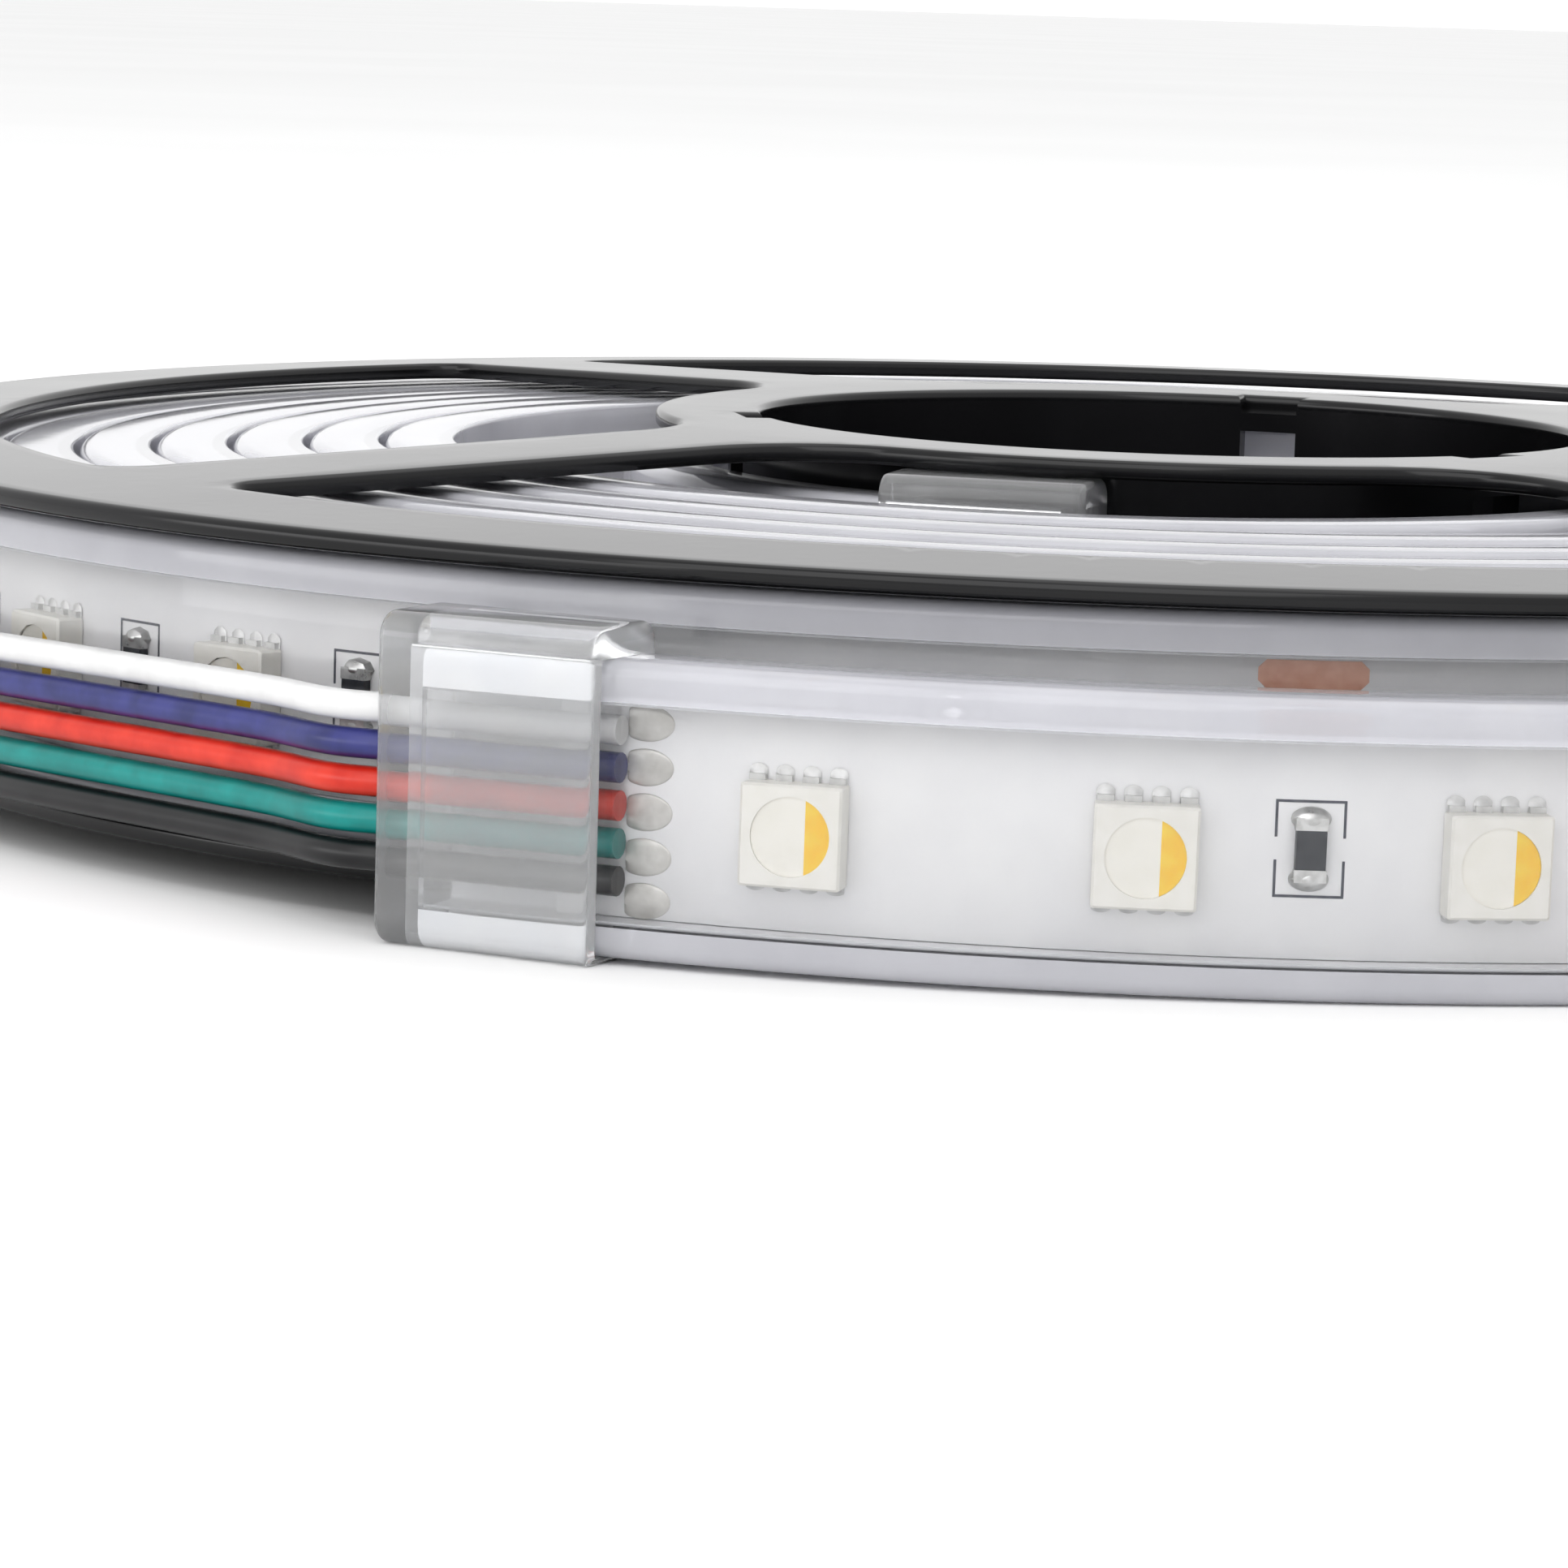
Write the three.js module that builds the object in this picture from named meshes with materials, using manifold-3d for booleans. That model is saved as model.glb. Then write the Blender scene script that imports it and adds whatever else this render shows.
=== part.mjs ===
// LED strip light reel: a two-part plastic reel holding a coil of RGBW strip in a clear silicone sleeve,
// with a silicone cap on each end of the strip and five wire leads at the outer end.
// Millimetres, +Z up. The reel lies flat on its lower hub ring.

import * as THREE from 'three';
import * as BufferGeometryUtils from 'three/addons/utils/BufferGeometryUtils.js';
import Module from 'manifold-3d';

const wasm = await Module();
wasm.setup();

// Clearances
const SEAT_GAP = 0.3;
const SOLDER_GAP = 0.1;
const CUT_MARGIN = 2;

// Reel
const RIM_RADIUS = 81.8;
const BORE_RADIUS = 25.4;
const HUB_RING_WIDTH = 6.5;
const WINDOW_BAND_WIDTH = 9.3;
const FLANGE_THICKNESS = 1.1;
const FLANGE_DISH = 1.8;
const DISH_POWER = 1.3;
const RIM_BEVEL = 0.25;
const CHANNEL_ROOM = 0.7;
const SPOKE_COUNT = 4;
const SPOKE_WIDTH = 10.4;
const FIRST_SPOKE_BEARING = -138.8;
const HUB_CORNER_RADIUS = 9.2;
const RIM_CORNER_RADIUS = 2.6;
const HUB_WALL_THICKNESS = 1.9;
const HUB_LAP_LENGTH = 3;
const KEYWAY_COUNT = 3;
const KEYWAY_WIDTH = 3.9;
const KEYWAY_DEPTH = 1.4;
const FIRST_KEYWAY_BEARING = 75;
const KEYWAY_BRIDGE = 1.2;
const LATHE_SEGMENTS = 48;
const FLANGE_RINGS = 4;
const WINDOW_CURVE_STEPS = 4;

// Strip
const SLEEVE_HEIGHT = 14.5;
const SLEEVE_THICKNESS = 4.3;
const SLEEVE_CORNER = 0.7;
const SLEEVE_BACK_WALL = 1;
const SLEEVE_FRONT_WALL = 0.7;
const BOARD_WIDTH = 10.8;
const BOARD_THICKNESS = 0.35;
const BOARD_DROP = 0.2;
const LED_PITCH = 16.667;
const LED_SIZE = 5;
const LED_HEIGHT = 1.5;
const LED_LENS_RADIUS = 2;
const LED_LENS_DEPTH = 0.3;
const LED_LENS_SIDES = 10;
const LED_DROP = 0.25;
const LED_SINK = 0.05;
const LEDS_PER_SEGMENT = 6;
const LEDS_BEFORE_FIRST_CUT = 3;
const GAP_WITHOUT_RESISTOR = 4;
const RESISTOR_LENGTH = 3.1;
const RESISTOR_WIDTH = 1.55;
const RESISTOR_HEIGHT = 0.55;

// Coil, counted in degrees of turn from the end of the board that carries the leads
const FIRST_LED_BEARING = -101.66;
const OUTER_FACETS = 18;
const TURN_FACETS = 30;
const ENTRY_FACETS = 6;
const COIL_PITCH = 4.65;
const TIGHT_TURNS_END = 2909;
const LOOP_ENTRY_FACETS = 8;
const LOOP_FACETS = 27;
const LOOP_SLACK = 0.5;
const LIFT_START = 110;
const LEADIN_TURN = 34;
const DISH_FOLLOW = 0.85;

// End caps
const CAP_LENGTH = 12;
const CAP_WALL = 0.8;
const CAP_FLOOR = 0.3;
const CAP_FLOOR_GAP = 0.15;
const CAP_ROOF = 1.15;
const CAP_ROOM = 0.25;
const CAP_END_WALL = 1.6;
const CAP_END_GAP = 0.7;
const CAP_CORNER = 1.2;

// Leads
const WIRE_DIAMETER = 1.5;
const WIRE_SPACING = 1.85;
const WIRE_SIDES = 8;
const WIRE_STEPS = 16;
const LOWEST_WIRE_HEIGHT = 3.9;
const LEAD_STRAIGHT = 3.5;
const CONDUCTOR_RADIUS = 0.45;
const CONDUCTOR_LENGTH = 2.2;
const WIRE_COLOURS = { black: 0x18181a, green: 0x00806f, red: 0xdd2d18, blue: 0x30308c, white: 0xf0f0f0 };

// Stations that the ribbon of leads passes: bearing, distance of its lowest wire from the reel's axis,
// height of that wire, and how far the ribbon leans out from upright, in degrees.
const LEAD_STATIONS = [
  [-121.5, 84.55, 3.86, 0],
  [-127, 83.4, 3.8, 0],
  [-133, 83.0, 3.7, 0],
  [-139, 83.0, 3.55, 2],
  [-145, 83.0, 3.35, 5],
  [-151, 83.0, 3.1, 10],
  [-157, 83.1, 2.8, 17],
  [-163, 83.2, 2.5, 26],
  [-169, 83.4, 2.15, 37],
  [-175, 83.7, 1.8, 49],
  [-181, 84.0, 1.45, 61],
  [-187, 84.3, 1.15, 72],
  [-193, 84.6, 0.95, 81],
  [-199, 84.8, 0.85, 87],
  [-205, 85.0, 0.8, 90],
  [-211, 85.1, 0.8, 90],
  [-216, 85.2, 0.8, 90],
];

// Sizes that follow from the ones above
const HUB_RING_RADIUS = BORE_RADIUS + HUB_RING_WIDTH;
const WINDOW_RADIUS = RIM_RADIUS - WINDOW_BAND_WIDTH;
const LOWER_RIM_TOP = FLANGE_DISH + FLANGE_THICKNESS;
const MID_PLANE = LOWER_RIM_TOP + (SLEEVE_HEIGHT + CHANNEL_ROOM) / 2;
const REEL_HEIGHT = 2 * MID_PLANE;
const HALF_THICKNESS = SLEEVE_THICKNESS / 2;
const BOARD_CENTRE_HEIGHT = SLEEVE_HEIGHT / 2 - BOARD_DROP;
const BOARD_BACK = -HALF_THICKNESS + SLEEVE_BACK_WALL + SEAT_GAP;
const BOARD_FRONT = BOARD_BACK + BOARD_THICKNESS;
const OUTER_STEP_LIMIT = LED_PITCH / (2 * RIM_RADIUS);
const OUTER_RADIUS = (RIM_RADIUS + SEAT_GAP) / Math.cos(OUTER_STEP_LIMIT) + HALF_THICKNESS;
const OUTER_STEP = THREE.MathUtils.radToDeg(2 * Math.asin(LED_PITCH / 2 / (OUTER_RADIUS + BOARD_FRONT)));
const BOARD_START = FIRST_LED_BEARING - OUTER_STEP / 2;
const TURN_STEP = 360 / TURN_FACETS;
const ENTRY_START = OUTER_FACETS * OUTER_STEP;
const ENTRY_END = ENTRY_START + ENTRY_FACETS * TURN_STEP;
const FLUSH_RADIUS = RIM_RADIUS - SEAT_GAP - HALF_THICKNESS;
const TIGHT_FACETS = Math.round((TIGHT_TURNS_END - ENTRY_END) / TURN_STEP);
const TIGHT_END = ENTRY_END + TIGHT_FACETS * TURN_STEP;
const LOOP_ENTRY = LOOP_ENTRY_FACETS * TURN_STEP;
const CAP_THICKNESS = SLEEVE_THICKNESS + 2 * (CAP_WALL + SEAT_GAP);
const LOOP_RADIUS = BORE_RADIUS + HUB_WALL_THICKNESS + 2 * SEAT_GAP + CAP_THICKNESS / 2 + LOOP_SLACK;
const LEADIN_RADIUS = RIM_RADIUS + SEAT_GAP + CAP_THICKNESS / 2;
const CAP_LIFT = CAP_FLOOR + CAP_FLOOR_GAP;
const CAP_HEIGHT = CAP_LIFT + SLEEVE_HEIGHT + SEAT_GAP + CAP_ROOF;
const CAP_GRIP = CAP_LENGTH - CAP_END_WALL - CAP_END_GAP;
const LOOP_HEIGHT = REEL_HEIGHT - FLANGE_THICKNESS - CAP_ROOM - CAP_HEIGHT + CAP_LIFT;

// Materials
const blackPlastic = new THREE.MeshStandardMaterial({ color: 0x16171a, roughness: 0.25, metalness: 0 });
const clearSilicone = new THREE.MeshStandardMaterial({ color: 0xc9cbe0, roughness: 0.3, metalness: 0 });
const milkySilicone = new THREE.MeshStandardMaterial({ color: 0xdfe3ea, roughness: 0.45, metalness: 0 });
const whiteBoard = new THREE.MeshStandardMaterial({ color: 0xe8e8ec, roughness: 0.55, metalness: 0 });
const creamPackage = new THREE.MeshStandardMaterial({ color: 0xf1ece0, roughness: 0.4, metalness: 0 });
const resistorBody = new THREE.MeshStandardMaterial({ color: 0x3a3e46, roughness: 0.5, metalness: 0 });

const model = new THREE.Group();
const assembly = new THREE.Group();
const reelAndStrip = new THREE.Group();
const leads = new THREE.Group();
model.add(assembly);
assembly.add(reelAndStrip, leads);

function toSolid(geometry) {
  const bare = geometry.clone();
  bare.deleteAttribute('normal');
  bare.deleteAttribute('uv');
  const merged = BufferGeometryUtils.mergeVertices(bare, 1e-4);
  const mesh = new wasm.Mesh({
    numProp: 3,
    vertProperties: new Float32Array(merged.attributes.position.array),
    triVerts: new Uint32Array(merged.index.array),
  });
  return new wasm.Manifold(mesh);
}

function toGeometry(solid) {
  const mesh = solid.getMesh();
  const geometry = new THREE.BufferGeometry();
  geometry.setAttribute('position', new THREE.BufferAttribute(mesh.vertProperties, 3));
  geometry.setIndex(new THREE.BufferAttribute(mesh.triVerts, 1));
  geometry.computeVertexNormals();
  return geometry;
}

function addPart(name, geometry, material, parent = reelAndStrip) {
  const mesh = new THREE.Mesh(geometry, material);
  mesh.name = name;
  parent.add(mesh);
  return mesh;
}

function smooth(t) {
  const c = THREE.MathUtils.clamp(t, 0, 1);
  return c * c * (3 - 2 * c);
}

function polar(radius, bearing, z = 0) {
  const a = THREE.MathUtils.degToRad(bearing);
  return new THREE.Vector3(radius * Math.cos(a), radius * Math.sin(a), z);
}

// How far the flange stands proud of its rim at a given radius
function dishRise(radius) {
  const t = THREE.MathUtils.clamp((radius - HUB_RING_RADIUS) / (RIM_RADIUS - HUB_RING_RADIUS), 0, 1);
  return FLANGE_DISH * (1 - t ** DISH_POWER);
}

// Reel halves

// Revolved profile of the lower half: dished flange with a bevelled rim, and its part of the hub wall.
function lowerHalfProfile(lapIsOuter) {
  const outline = [];
  outline.push([BORE_RADIUS, 0]);
  outline.push([HUB_RING_RADIUS, 0]);
  for (let i = 1; i < FLANGE_RINGS; i += 1) {
    const r = THREE.MathUtils.lerp(HUB_RING_RADIUS, RIM_RADIUS, i / FLANGE_RINGS);
    outline.push([r, FLANGE_DISH - dishRise(r)]);
  }
  outline.push([RIM_RADIUS - RIM_BEVEL, FLANGE_DISH]);
  outline.push([RIM_RADIUS, FLANGE_DISH + RIM_BEVEL]);
  outline.push([RIM_RADIUS, LOWER_RIM_TOP - RIM_BEVEL]);
  outline.push([RIM_RADIUS - RIM_BEVEL, LOWER_RIM_TOP]);
  for (let i = FLANGE_RINGS - 1; i > 0; i -= 1) {
    const r = THREE.MathUtils.lerp(HUB_RING_RADIUS, RIM_RADIUS, i / FLANGE_RINGS);
    outline.push([r, LOWER_RIM_TOP - dishRise(r)]);
  }
  outline.push([HUB_RING_RADIUS, FLANGE_THICKNESS]);
  const wallRadius = BORE_RADIUS + HUB_WALL_THICKNESS;
  const lapRadius = BORE_RADIUS + HUB_WALL_THICKNESS / 2;
  const shoulder = MID_PLANE - SEAT_GAP / 2;
  outline.push([wallRadius, FLANGE_THICKNESS]);
  if (lapIsOuter) {
    outline.push([wallRadius, shoulder + HUB_LAP_LENGTH]);
    outline.push([lapRadius + SEAT_GAP / 2, shoulder + HUB_LAP_LENGTH]);
    outline.push([lapRadius + SEAT_GAP / 2, shoulder]);
    outline.push([BORE_RADIUS, shoulder]);
  } else {
    outline.push([wallRadius, shoulder - HUB_LAP_LENGTH]);
    outline.push([lapRadius - SEAT_GAP / 2, shoulder - HUB_LAP_LENGTH]);
    outline.push([lapRadius - SEAT_GAP / 2, shoulder]);
    outline.push([BORE_RADIUS, shoulder]);
  }
  outline.push([BORE_RADIUS, 0]);
  return outline.map(([r, z]) => new THREE.Vector2(r, z));
}

// Outline of one window between two spokes, centred on the X axis
function windowShape() {
  const halfSector = Math.PI / SPOKE_COUNT;
  const halfSpoke = SPOKE_WIDTH / 2;
  const outerCentre = WINDOW_RADIUS - RIM_CORNER_RADIUS;
  const outerAngle = halfSector - Math.asin((halfSpoke + RIM_CORNER_RADIUS) / outerCentre);
  const innerCentre = HUB_RING_RADIUS + HUB_CORNER_RADIUS;
  const innerAngle = halfSector - Math.asin((halfSpoke + HUB_CORNER_RADIUS) / innerCentre);
  const edgeNormal = Math.PI / 2 + halfSector;
  const shape = new THREE.Shape();
  const corner = (radius, angle, size, from, to) =>
    shape.absarc(radius * Math.cos(angle), radius * Math.sin(angle), size, from, to, false);
  shape.absarc(0, 0, WINDOW_RADIUS, -outerAngle, outerAngle, false);
  corner(outerCentre, outerAngle, RIM_CORNER_RADIUS, outerAngle, edgeNormal);
  corner(innerCentre, innerAngle, HUB_CORNER_RADIUS, edgeNormal, Math.PI + innerAngle);
  shape.absarc(0, 0, HUB_RING_RADIUS, innerAngle, -innerAngle, true);
  corner(innerCentre, -innerAngle, HUB_CORNER_RADIUS, Math.PI - innerAngle, 2 * Math.PI - edgeNormal);
  corner(outerCentre, -outerAngle, RIM_CORNER_RADIUS, -edgeNormal, -outerAngle);
  return shape;
}

function windowCutter() {
  const geometry = new THREE.ExtrudeGeometry(windowShape(), {
    depth: LOWER_RIM_TOP + 2 * CUT_MARGIN,
    bevelEnabled: false,
    curveSegments: WINDOW_CURVE_STEPS,
  });
  geometry.translate(0, 0, -CUT_MARGIN);
  return geometry;
}

// Keyway notch in the hub ring, with the slot in the hub wall above it
function keywayCutters(bearing) {
  const notch = new THREE.BoxGeometry(2 * KEYWAY_DEPTH, KEYWAY_WIDTH, 2 * KEYWAY_BRIDGE);
  notch.translate(BORE_RADIUS, 0, 0);
  const slotHeight = MID_PLANE;
  const slot = new THREE.BoxGeometry(3 * HUB_WALL_THICKNESS, KEYWAY_WIDTH, slotHeight);
  slot.translate(BORE_RADIUS + HUB_WALL_THICKNESS / 2, 0, KEYWAY_BRIDGE + FLANGE_THICKNESS + slotHeight / 2);
  return [notch, slot].map((g) => g.rotateZ(THREE.MathUtils.degToRad(bearing)));
}

// Both halves are made the same way up; the upper one is turned over about the X axis.
function reelHalf(lapIsOuter, turnedOver) {
  const sign = turnedOver ? -1 : 1;
  const lathe = new THREE.LatheGeometry(lowerHalfProfile(lapIsOuter), LATHE_SEGMENTS);
  lathe.rotateX(Math.PI / 2);
  let solid = toSolid(lathe);
  for (let i = 0; i < SPOKE_COUNT; i += 1) {
    const bearing = FIRST_SPOKE_BEARING + (360 / SPOKE_COUNT) * (i + 0.5);
    const cutter = windowCutter().rotateZ(THREE.MathUtils.degToRad(sign * bearing));
    solid = solid.subtract(toSolid(cutter));
  }
  for (let i = 0; i < KEYWAY_COUNT; i += 1) {
    const bearing = FIRST_KEYWAY_BEARING + (360 / KEYWAY_COUNT) * i;
    for (const cutter of keywayCutters(sign * bearing)) {
      solid = solid.subtract(toSolid(cutter));
    }
  }
  return toGeometry(solid);
}

addPart('reel_lower_half', reelHalf(true, false), blackPlastic);
const upperHalf = addPart('reel_upper_half', reelHalf(false, true), blackPlastic);
upperHalf.rotation.x = Math.PI;
upperHalf.position.z = REEL_HEIGHT;

// Coil path

// Distance of the strip's middle from the axis after a given amount of turn
function coilRadius(turn) {
  if (turn < ENTRY_START) {
    const standOff = LEADIN_RADIUS - OUTER_RADIUS;
    return OUTER_RADIUS + standOff * (1 - smooth(turn / LEADIN_TURN));
  }
  if (turn < ENTRY_END) {
    const entered = smooth((turn - ENTRY_START) / (ENTRY_END - ENTRY_START));
    return THREE.MathUtils.lerp(OUTER_RADIUS, FLUSH_RADIUS, entered);
  }
  const tight = FLUSH_RADIUS - (COIL_PITCH * (Math.min(turn, TIGHT_END) - ENTRY_END)) / 360;
  return THREE.MathUtils.lerp(tight, LOOP_RADIUS, smooth((turn - TIGHT_END) / LOOP_ENTRY));
}

// Height of the strip's lower edge: on the table outside the rim, then on the lower flange. The loose loop
// hangs where the cap on its end clears the upper flange.
function coilHeight(turn) {
  if (turn < LIFT_START) {
    return CAP_LIFT * (1 - smooth(turn / LEADIN_TURN));
  }
  const seat = LOWER_RIM_TOP + SEAT_GAP;
  if (turn < ENTRY_START) {
    return seat * smooth((turn - LIFT_START) / (ENTRY_START - LIFT_START));
  }
  const dished = seat + DISH_FOLLOW * dishRise(coilRadius(turn));
  return THREE.MathUtils.lerp(dished, LOOP_HEIGHT, smooth((turn - TIGHT_END) / LOOP_ENTRY));
}

function station(turn) {
  const bearing = BOARD_START + turn;
  return { origin: polar(coilRadius(turn), bearing, coilHeight(turn)), radial: polar(1, bearing) };
}

const TAIL_TURN = THREE.MathUtils.radToDeg(CAP_GRIP / LEADIN_RADIUS);
const END_TURN = THREE.MathUtils.radToDeg(CAP_GRIP / LOOP_RADIUS);

function coilStations() {
  const turns = [];
  for (let i = 0; i <= OUTER_FACETS; i += 1) {
    turns.push(i * OUTER_STEP);
  }
  const innerFacets = ENTRY_FACETS + TIGHT_FACETS + LOOP_FACETS;
  for (let i = 1; i <= innerFacets; i += 1) {
    turns.push(ENTRY_START + i * TURN_STEP);
  }
  turns.push(turns.at(-1) + END_TURN);
  return turns.map(station);
}

const boardStations = coilStations();
const sleeveStations = [station(-TAIL_TURN), ...boardStations];

// Solid swept through the stations from a section whose x is the radial offset and whose y is the height
function loft(stations, contour, hole = []) {
  const section = [...contour, ...hole];
  const positions = [];
  for (const { origin, radial } of stations) {
    for (const [x, y] of section) {
      positions.push(origin.x + radial.x * x, origin.y + radial.y * x, origin.z + y);
    }
  }
  const faces = [];
  const count = section.length;
  const addSkin = (start, length, flip) => {
    for (let s = 0; s < stations.length - 1; s += 1) {
      for (let i = 0; i < length; i += 1) {
        const a = s * count + start + i;
        const b = s * count + start + ((i + 1) % length);
        const c = a + count;
        const d = b + count;
        faces.push(...(flip ? [a, c, d, a, d, b] : [a, b, d, a, d, c]));
      }
    }
  };
  addSkin(0, contour.length, true);
  addSkin(contour.length, hole.length, false);
  const toVectors = (points) => points.map(([x, y]) => new THREE.Vector2(x, y));
  const holes = hole.length ? [toVectors(hole)] : [];
  const capFaces = THREE.ShapeUtils.triangulateShape(toVectors(contour), holes);
  const last = (stations.length - 1) * count;
  for (const [a, b, c] of capFaces) {
    faces.push(a, b, c, last + a, last + c, last + b);
  }
  const geometry = new THREE.BufferGeometry();
  geometry.setAttribute('position', new THREE.Float32BufferAttribute(positions, 3));
  geometry.setIndex(faces);
  geometry.computeVertexNormals();
  return geometry;
}

function rectangle(x0, x1, y0, y1) {
  return [[x0, y0], [x1, y0], [x1, y1], [x0, y1]];
}

// Flat at the back, where the strip is stuck down, and chamfered on the LED side
function chamferedFront(x0, x1, y0, y1, c) {
  return [[x0, y0], [x1 - c, y0], [x1, y0 + c], [x1, y1 - c], [x1 - c, y1], [x0, y1]];
}

const sleeveSection = chamferedFront(-HALF_THICKNESS, HALF_THICKNESS, 0, SLEEVE_HEIGHT, SLEEVE_CORNER);
const cavitySection = rectangle(
  -HALF_THICKNESS + SLEEVE_BACK_WALL,
  HALF_THICKNESS - SLEEVE_FRONT_WALL,
  BOARD_CENTRE_HEIGHT - BOARD_WIDTH / 2 - SEAT_GAP,
  BOARD_CENTRE_HEIGHT + BOARD_WIDTH / 2 + SEAT_GAP,
);
const boardSection = rectangle(
  BOARD_BACK,
  BOARD_FRONT,
  BOARD_CENTRE_HEIGHT - BOARD_WIDTH / 2,
  BOARD_CENTRE_HEIGHT + BOARD_WIDTH / 2,
);

addPart('silicone_sleeve', loft(sleeveStations, sleeveSection, cavitySection), clearSilicone);

const NO_OFFSET = new THREE.Vector3();

// Frame of one flat facet of the strip: x along the strip, y up, z out of the board's face
function facetFrame(from, to, along = 0.5) {
  const start = from.origin.clone().addScaledVector(from.radial, BOARD_FRONT);
  const end = to.origin.clone().addScaledVector(to.radial, BOARD_FRONT);
  const x = end.clone().sub(start).normalize();
  const z = x.clone().cross(new THREE.Vector3(0, 0, 1)).normalize();
  const y = z.clone().cross(x);
  const frame = new THREE.Group();
  frame.matrix.makeBasis(x, y, z);
  frame.matrix.setPosition(start.lerp(end, along));
  frame.matrix.decompose(frame.position, frame.quaternion, frame.scale);
  frame.translateY(BOARD_CENTRE_HEIGHT);
  frame.updateMatrix();
  return frame;
}

// LED package with the round recess of its lens
function ledGeometry() {
  const body = new THREE.BoxGeometry(LED_SIZE, LED_SIZE, LED_HEIGHT);
  body.translate(0, 0, LED_HEIGHT / 2);
  const r = LED_LENS_RADIUS;
  const lens = new THREE.CylinderGeometry(r, r, 2 * LED_LENS_DEPTH, LED_LENS_SIDES);
  lens.rotateX(Math.PI / 2);
  lens.translate(0, 0, LED_HEIGHT);
  return toGeometry(toSolid(body).subtract(toSolid(lens)));
}

const ledShape = ledGeometry();
const resistorShape = new THREE.BoxGeometry(RESISTOR_WIDTH, RESISTOR_LENGTH, RESISTOR_HEIGHT);
resistorShape.translate(0, 0, RESISTOR_HEIGHT / 2);

// The outer turn has a flat facet for each LED. A resistor follows each LED of a segment, one and the last
// apart.
let resistorNumber = 0;
for (let i = 0; i < OUTER_FACETS; i += 1) {
  const ledFrame = facetFrame(boardStations[i], boardStations[i + 1]);
  reelAndStrip.add(ledFrame);
  const led = addPart(`led_${String(i + 1).padStart(2, '0')}`, ledShape, creamPackage, ledFrame);
  led.position.set(0, -LED_DROP, SOLDER_GAP);
  const place = (i + LEDS_PER_SEGMENT - LEDS_BEFORE_FIRST_CUT) % LEDS_PER_SEGMENT + 1;
  if (place !== GAP_WITHOUT_RESISTOR && place < LEDS_PER_SEGMENT) {
    resistorNumber += 1;
    const reach = RESISTOR_WIDTH / 2 + SEAT_GAP;
    const frame = facetFrame(boardStations[i], boardStations[i + 1], 1 - reach / LED_PITCH);
    reelAndStrip.add(frame);
    const name = `resistor_${String(resistorNumber).padStart(2, '0')}`;
    addPart(name, resistorShape, resistorBody, frame).position.z = SOLDER_GAP;
  }
}

// Points on the board's face, one for each station, and how far along the board each lies
const toFace = ({ origin, radial }) => origin.clone().addScaledVector(radial, BOARD_FRONT);
const facePoints = boardStations.map(toFace);
const faceDistances = [0];
for (let i = 1; i < facePoints.length; i += 1) {
  faceDistances.push(faceDistances[i - 1] + facePoints[i].distanceTo(facePoints[i - 1]));
}

function pointOnFace(distance) {
  const next = faceDistances.findIndex((d) => d > distance);
  const span = faceDistances[next] - faceDistances[next - 1];
  return facePoints[next - 1].clone().lerp(facePoints[next], (distance - faceDistances[next - 1]) / span);
}

// Past the outer turn the LEDs are plain blocks, soldered and so fused to the board.
function boardWithInnerLeds() {
  let solid = toSolid(loft(boardStations, boardSection));
  const half = LED_SIZE / 2;
  const boardEnd = faceDistances.at(-1);
  for (let at = (OUTER_FACETS + 0.5) * LED_PITCH; at + half < boardEnd; at += LED_PITCH) {
    const from = { origin: pointOnFace(at - half), radial: NO_OFFSET };
    const to = { origin: pointOnFace(at + half), radial: NO_OFFSET };
    const block = new THREE.BoxGeometry(LED_SIZE, LED_SIZE, LED_HEIGHT + LED_SINK);
    block.translate(0, -LED_DROP, (LED_HEIGHT - LED_SINK) / 2);
    const frame = facetFrame(from, to);
    block.applyMatrix4(frame.matrix);
    solid = solid.add(toSolid(block));
  }
  return toGeometry(solid);
}

addPart('flex_board', boardWithInnerLeds(), whiteBoard);

// End caps: a silicone cup over the end of the sleeve, x along the strip towards the cup's open end
function capGeometry() {
  const halfT = CAP_THICKNESS / 2;
  const outer = new THREE.Shape();
  const c = CAP_CORNER;
  outer.absarc(halfT - c, CAP_HEIGHT - c, c, 0, Math.PI / 2, false);
  outer.absarc(c - halfT, CAP_HEIGHT - c, c, Math.PI / 2, Math.PI, false);
  outer.absarc(c - halfT, c, c, Math.PI, 1.5 * Math.PI, false);
  outer.absarc(halfT - c, c, c, 1.5 * Math.PI, 2 * Math.PI, false);
  const shell = new THREE.ExtrudeGeometry(outer, {
    depth: CAP_LENGTH,
    bevelEnabled: false,
    curveSegments: 3,
  });
  const grip = CAP_LENGTH - CAP_END_WALL;
  const cavityThickness = SLEEVE_THICKNESS + 2 * SEAT_GAP;
  const cavityHeight = CAP_HEIGHT - CAP_FLOOR - CAP_ROOF;
  const cavity = new THREE.BoxGeometry(cavityThickness, cavityHeight, 2 * grip);
  cavity.translate(0, CAP_FLOOR + cavityHeight / 2, CAP_LENGTH);
  const solid = toSolid(shell).subtract(toSolid(cavity));
  return toGeometry(solid);
}

// Places a cap over the stretch of sleeve that ends at the first station
function addCap(name, endStation, innerStation) {
  const along = innerStation.origin.clone().sub(endStation.origin).setZ(0).normalize();
  const up = new THREE.Vector3(0, 0, 1);
  const frame = new THREE.Matrix4().makeBasis(up.clone().cross(along), up, along);
  const cap = addPart(name, capGeometry(), milkySilicone);
  cap.quaternion.setFromRotationMatrix(frame);
  cap.position.copy(endStation.origin).addScaledVector(along, -(CAP_END_WALL + CAP_END_GAP));
  cap.position.z = endStation.origin.z - CAP_LIFT;
  return along;
}

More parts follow.
